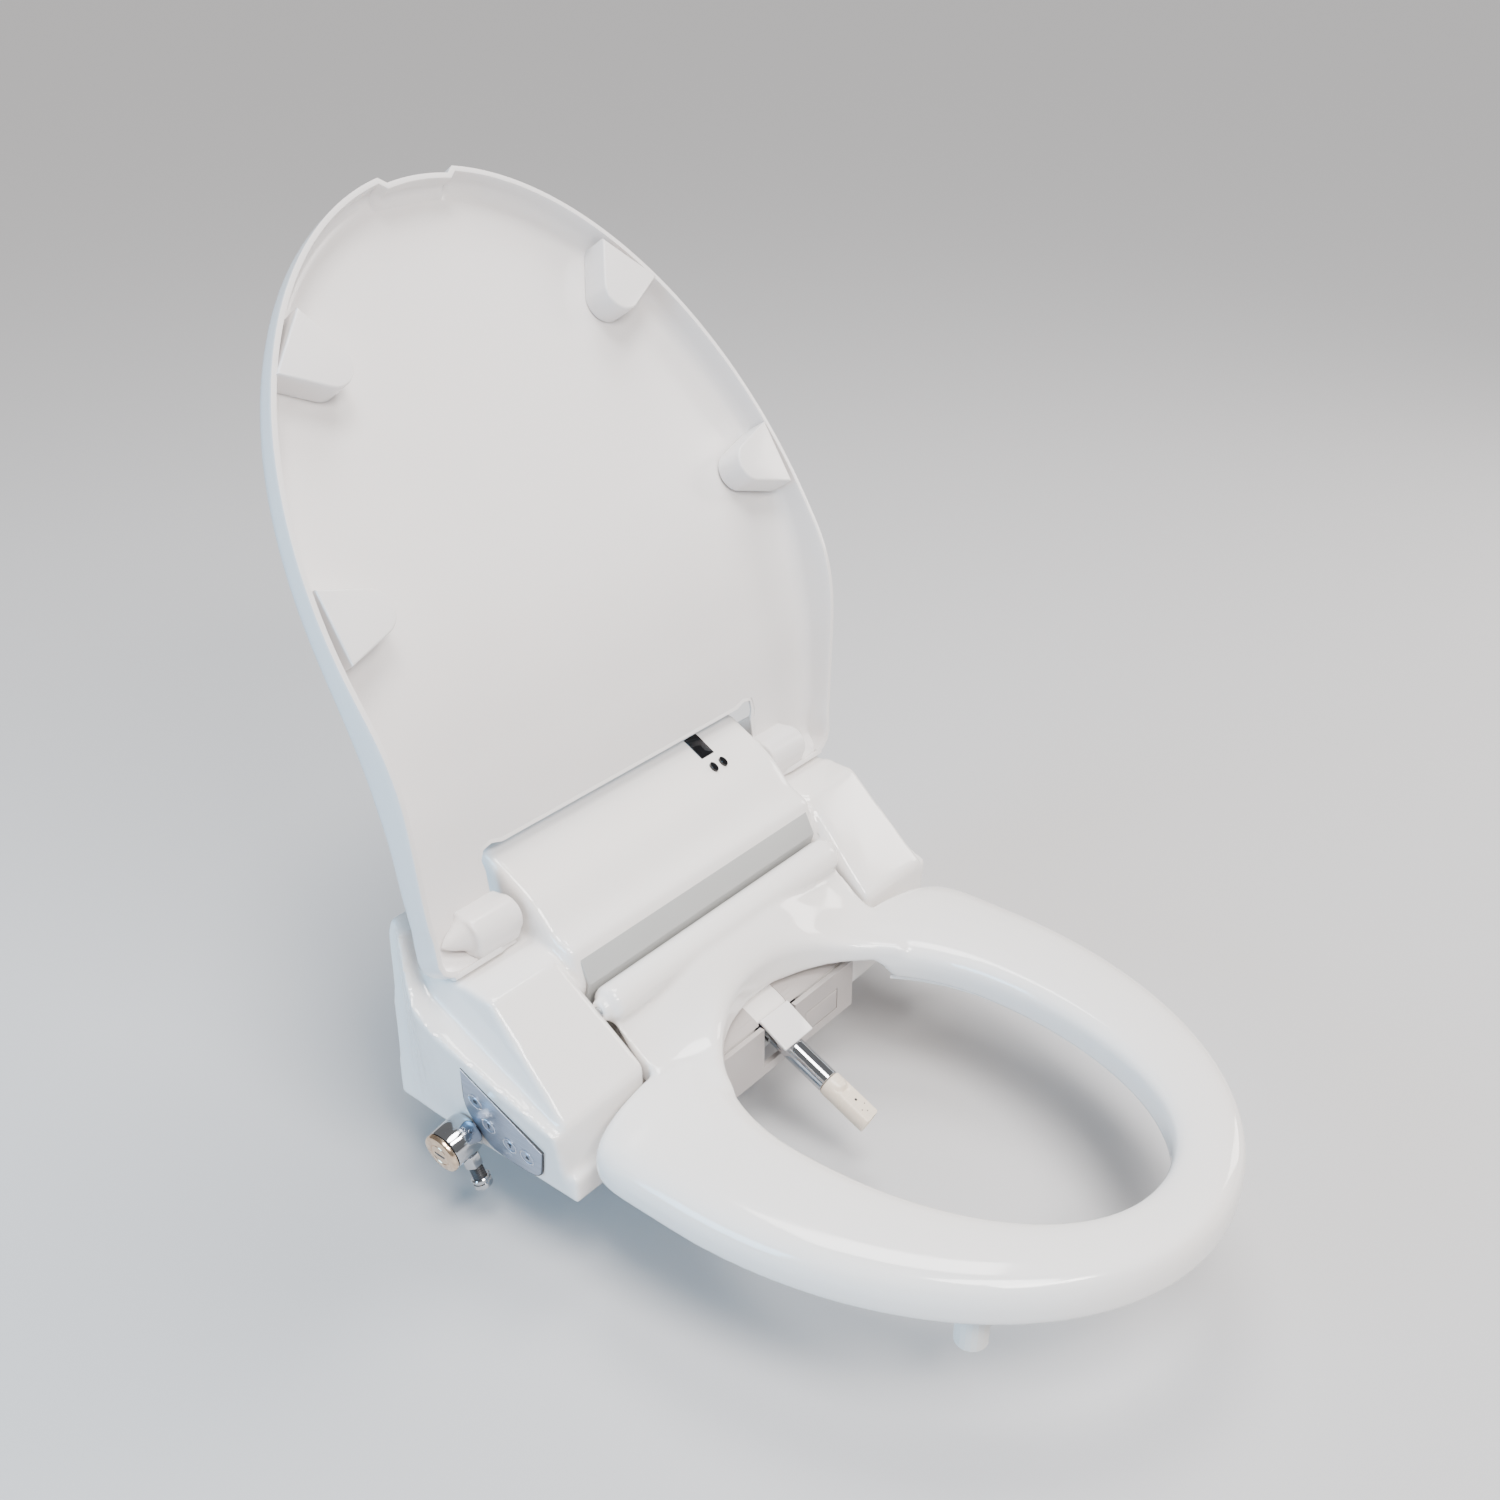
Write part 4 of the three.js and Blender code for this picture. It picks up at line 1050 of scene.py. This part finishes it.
def buildNozzle():
    r, end = nozzle["tube"], nozzle["length"]
    tube = lathe([(2.9, 19.3), (r - 0.6, 19.3), (r, 19.9), (r, end - 0.6), (r - 0.6, end), (2.9, end)],
                 (0, 0, 0), (0, 1, 0))
    makePiece("washTube", tube, "wand", "chrome", ("nozzle_tube",), turn=onWand)

    tip = lathe(nozzle["tip"], (0, 0, 0), (0, 1, 0), 56)
    for v in tip.verts:
        x, h, z = v.co
        z = min(z, 9 - nozzle["flat"] * smoothStep(9.4, 5.4, h))
        if z > 5 and h > -17.9:    # the curved dish across the flat
            dish = math.exp(-((h - 6.2 - 0.10 * x * x) / 1.7) ** 2)
            z -= 1.5 * dish * (1 - smoothStep(5, 7.4, abs(x)))
        if h < -17:    # the slanted end
            h += 0.1 * x
        v.co = (x, h, z)
    makePiece("washTip", tip, "wand", "cream", ("nozzle_tip",), turn=onWand)

    # the outlets are dark rods through the flat: painted shade where the holes are
    low = nozzle["outletLow"]
    jets = [rod(radius, (x, along, low), (x, along, high), sides)
            for radius, x, along, high, sides in nozzle["outlets"]]
    makePiece("washJets", gather(jets), "wand", "dark", turn=onWand)


splash = {
    # side profiles (y, z) of the shutter and of the lip over the wall
    "shutter": [(-127.6, 34.4), (-149.8, 22), (-151, 24.2), (-129.4, 36.9), (-127.8, 37)],
    "shutterHalf": 15,
    "lip": [(-128.2, 33.6), (-125, 36.7), (-117.2, 40.5), (-110.4, 43.3), (-109.6, 42.2), (-117, 39.4),
            (-124.4, 35.6), (-127.4, 33)],
    "lipInner": 15.8, "lipOuter": 84,
    "flap": ((29.5, -134, 2.5), (65.5, -131.7, 19.1)),
}


def buildSplash():
    shutter = fromProfile(splash["shutter"], -splash["shutterHalf"], splash["shutterHalf"])
    bevelEdges(shutter, 0.9, 3, 0.5)
    makePiece("washShutter", shutter, "shutter", "lidWhite", ("nozzle_shutter",))
    near, far = splash["lipInner"], splash["lipOuter"]
    lips = gather([fromProfile(splash["lip"], -far, -near), fromProfile(splash["lip"], near, far)])
    makePiece("splashLip", lips, "housing", "splash")
    flap = box(*splash["flap"])
    bevelEdges(flap, 0.8, 3, 0.5)
    makePiece("dryerFlap", flap, "dryer_door", "splash", ("dryer_flap",))


recess = {
    "half": 116.8, "round": 0.8,
    "profile": [(-63, 120), (-73, 100.5), (-70.2, 90), (-70.2, 69.6), (-67.6, 69.6), (-67.6, 90.2),
                (-70.1, 100), (-60.8, 118.8)],
}


def buildRecess():
    panel = fromProfile(recess["profile"], -recess["half"], recess["half"])
    bevelEdges(panel, recess["round"], 3, 0.4)
    # the panel's grey is painted shade of the front wall under the console's overhang
    makePiece("recessPanel", panel, "housing", "recess", ("recess_panel",))


display = {
    "path": [(-8.3, 161.1), (-4, 163.2), (0, 165.3), (3, 167), (5.6, 168.5), (9.2, 169.9)],
    "inner": 68.2, "outer": 81.4, "back": 0.4, "thick": 1.6,
    "lens": [(0, 0), (3, 0), (3, 3), (2.6, 3.5), (1.6, 3.7), (0, 3.8)],
    "lensOval": (0.8, 1.32, 1), "lensPlace": (-16.5, 154.9), "lensTilt": 31,
    "lenses": {"left": 70.3, "right": 80.5},
}


def buildDisplay():
    below = [(y + display["back"], z - display["thick"]) for y, z in reversed(display["path"])]
    glass = fromProfile([*display["path"], *below], display["inner"], display["outer"])
    bevelEdges(glass, 0.35, 2, 0.9)
    makePiece("displayGlass", glass, "housing", "glass", ("display_window",))
    for hand, x in display["lenses"].items():
        lens = lathe(display["lens"], (0, 0, 0), (0, 0, 1), 40)
        bmesh.ops.scale(lens, vec=display["lensOval"], verts=lens.verts)
        place = (Matrix.Translation((x, *display["lensPlace"]))
                 @ Matrix.Rotation(math.radians(display["lensTilt"]), 4, "X"))
        makePiece(f"sensorLens_{hand}", lens, "housing", "glass",
                  (f"sensor_lens_{hand}",), turn=place)


buildNozzle()
buildSplash()
buildRecess()
buildDisplay()
print("nozzle and panels made")


# The control strip and the valve are drawn flat, as (along, up, out), and laid on the drafted left wall
onSide = Matrix(((0, wallUp.x, wallOut.x, wallFoot.x), (-1, 0, 0, 0), (0, wallUp.z, wallOut.z, 0),
                 (0, 0, 0, 1)))
strip = {
    "outline": [(44.6, 76), (40.4, 56), (38.5, 46), (38.4, 39), (39.5, 33), (42.2, 26), (46, 19.5),
                (50, 13.4), (54, 9.8), (60, 8), (74, 7), (86, 7.2), (92, 8.2), (97, 11), (100, 14.4),
                (101.6, 19), (106.3, 37.6)],
    "buttons": [("stop", 51, 50), ("wash", 58, 32), ("bidet", 75, 25), ("dry", 90, 24)],
    "border": 0.75,
    # (radius, height) of a button and of the raised ring round it
    "key": [(0, -3.1), (4.1, -3.1), (4.1, 0.75), (3.7, 1.15), (2.6, 1.05), (0, 0.9)],
    "ring": [(5.0, 0.8), (5.0, 1.25), (5.5, 1.4), (6.0, 1.25), (6.0, 0.8)],
    "markLow": 1, "markHigh": 1.34,
    # the plain marks, as corners (along, up) of boxes or of a triangle
    "marks": {
        "stop": [((49.7, 48.7), (52.3, 51.3))],
        "wash": [((57.6, 30), (58.4, 34))],
        "bidet": [((74.7, 23), (75.3, 26)), ((73.4, 26), (76.6, 26.7))],
        "dry": [((88.4, 22.9), (91.6, 22.9), (90, 25.6))],
    },
}


def shrunk(outline, amount):
    made = []
    for i, point in enumerate(outline):
        before, after = Vector(outline[i - 1]), Vector(outline[(i + 1) % len(outline)])
        tangent = (after - before).normalized()
        made.append((point[0] - tangent.y * amount, point[1] + tangent.x * amount))
    return made


def markShape(corners):
    low, high = strip["markLow"], strip["markHigh"]
    if len(corners) == 2:
        return box((*corners[0], low), (*corners[1], high))
    return fromPlan(corners, low, high)


def buildStrip():
    border = fromPlan(strip["outline"], -1, 0.55)
    makePiece("stripBorder", border, "housing", "dark", turn=onSide)
    plate = fromPlan(shrunk(strip["outline"], strip["border"]), -1.2, 0.85)
    bevelEdges(plate, 0.3, 2, 0.9, lambda e: min(v.co.z for v in e.verts) > 0.5)
    makePiece("controlStrip", plate, "housing", "panel", ("control_inlay",), turn=onSide)
    rings = []
    for name, along, up in strip["buttons"]:
        key = lathe(strip["key"], (along, up, 0), (0, 0, 1), 40)
        makePiece(f"{name}Key", key, f"{name}_button", "panel", (f"button_{name}",),
                  turn=onSide)
        rings.append(lathe(strip["ring"], (along, up, 0), (0, 0, 1), 48))
    # the raised rings take the lighter metal, a painted highlight
    makePiece("stripRelief", gather(rings), "housing", "relief", turn=onSide)
    for name, shapes in strip["marks"].items():
        mark = gather([markShape(corners) for corners in shapes])
        makePiece(f"{name}Mark", mark, f"{name}_button", "dark", turn=onSide)


# Turned profiles (radius, height) of the valve, which stands out of the wall, and of its tailpiece
fitting = {
    "body": [(0, -5.8), (7.9, -5.8), (7.9, 0.4), (9.6, 0.6), (12.2, 1.4), (13.6, 3.4), (14, 6),
             (14, 22.2), (13.6, 22.9), (0, 22.9)],
    "cap": [(0, 23.3), (13.4, 23.3), (13.9, 23.8), (13.9, 25.6), (13.3, 26.6), (12.3, 27), (8.2, 27),
            (7.9, 26.6), (7.5, 26.6), (7.2, 27), (0, 27)],
    # the slot is a thin dark plate over the cap face: painted shade in the slot
    "slotHalf": (4.6, 2.6), "slotWidth": (0.5, 1.5), "slot": (26.5, 27.1),
    "tailOut": 9, "tailTurn": 14, "nutRadius": 6.4, "nut": (14.2, 23.6),
    "thread": [(3.2, 33.4), (4.6, 33.4), *[(4.6 - 0.5 * (i % 2), 33 - 0.9 * i) for i in range(11)],
               (3.2, 23.4)],
    "collar": [(3.2, 33.2), (5.6, 33.2), (6.4, 33.9), (6.4, 35.3), (5.7, 35.9), (5.7, 36.7), (6.4, 37.2),
               (6.4, 40.3), (5.9, 41), (4.2, 41), (3.7, 40.4), (3.2, 33.2)],
}


def buildValve():
    u, w = valve["along"], valve["up"]
    body = lathe(fitting["body"], (u, w, 0), (0, 0, 1), 64)
    makePiece("valveBody", body, "housing", "chrome", ("inlet_valve_body",), turn=onSide)
    cap = lathe(fitting["cap"], (u, w, 0), (0, 0, 1), 64)
    makePiece("valveCap", cap, "valve_cap", "turned", ("strainer_cap",), turn=onSide)
    # a thin dark plate over the cap face is painted shade in the cap's slot
    (far, near), (thin, wide) = fitting["slotHalf"], fitting["slotWidth"]
    slot = fromPlan([(u - far, w - thin), (u - near, w - wide), (u + near, w - wide), (u + far, w - thin),
                     (u + far, w + thin), (u - far, w + thin)], *fitting["slot"])
    makePiece("capSlot", slot, "valve_cap", "dark", turn=onSide)

    tail = (onSide @ Matrix.Translation((u, w, fitting["tailOut"]))
            @ Matrix.Rotation(math.radians(fitting["tailTurn"]), 4, "Z"))
    start, end = fitting["nut"]
    nut = rod(fitting["nutRadius"], (0, -start, 0), (0, -end, 0), 6)
    bevelEdges(nut, 0.5, 3, 0.5)
    makePiece("tailNut", nut, "housing", "chrome", ("inlet_tailpiece",), turn=tail)
    thread = lathe(fitting["thread"], (0, 0, 0), (0, -1, 0), 40)
    makePiece("tailThread", thread, "housing", "dark", turn=tail)
    collar = lathe(fitting["collar"], (0, 0, 0), (0, -1, 0), 48)
    makePiece("tailCollar", collar, "housing", "chrome", turn=tail)


buildStrip()
buildValve()
print("side wall made")


# Pieces kept as they are are painted by the record's material slots, and their edges softened
slotPaint = {
    "gloss_white": "white", "grey_plastic": "recess", "splash_beige": "splash", "black_glass": "glass",
    "dark_plastic": "dark", "steel": "steel", "chrome": "chrome", "copper_face": "turned",
    "heater_copper": "copper", "soft_rubber": "rubber", "nozzle_cream": "cream", "nylon_natural": "nylon",
    "board_green": "board", "panel_blue": "panel",
}


def finishKept():
    for part in frame["record"]["subparts"]:
        node = frame["nodes"][part["node"]]
        if node.hide_render:
            continue
        node.data.materials.clear()
        node.data.materials.append(paint[slotPaint[part["material_slot"]]])
        shadeSmooth(node.data)
        softEdges(node, 0.5, 2, 40)


finishKept()
print("kept pieces finished")
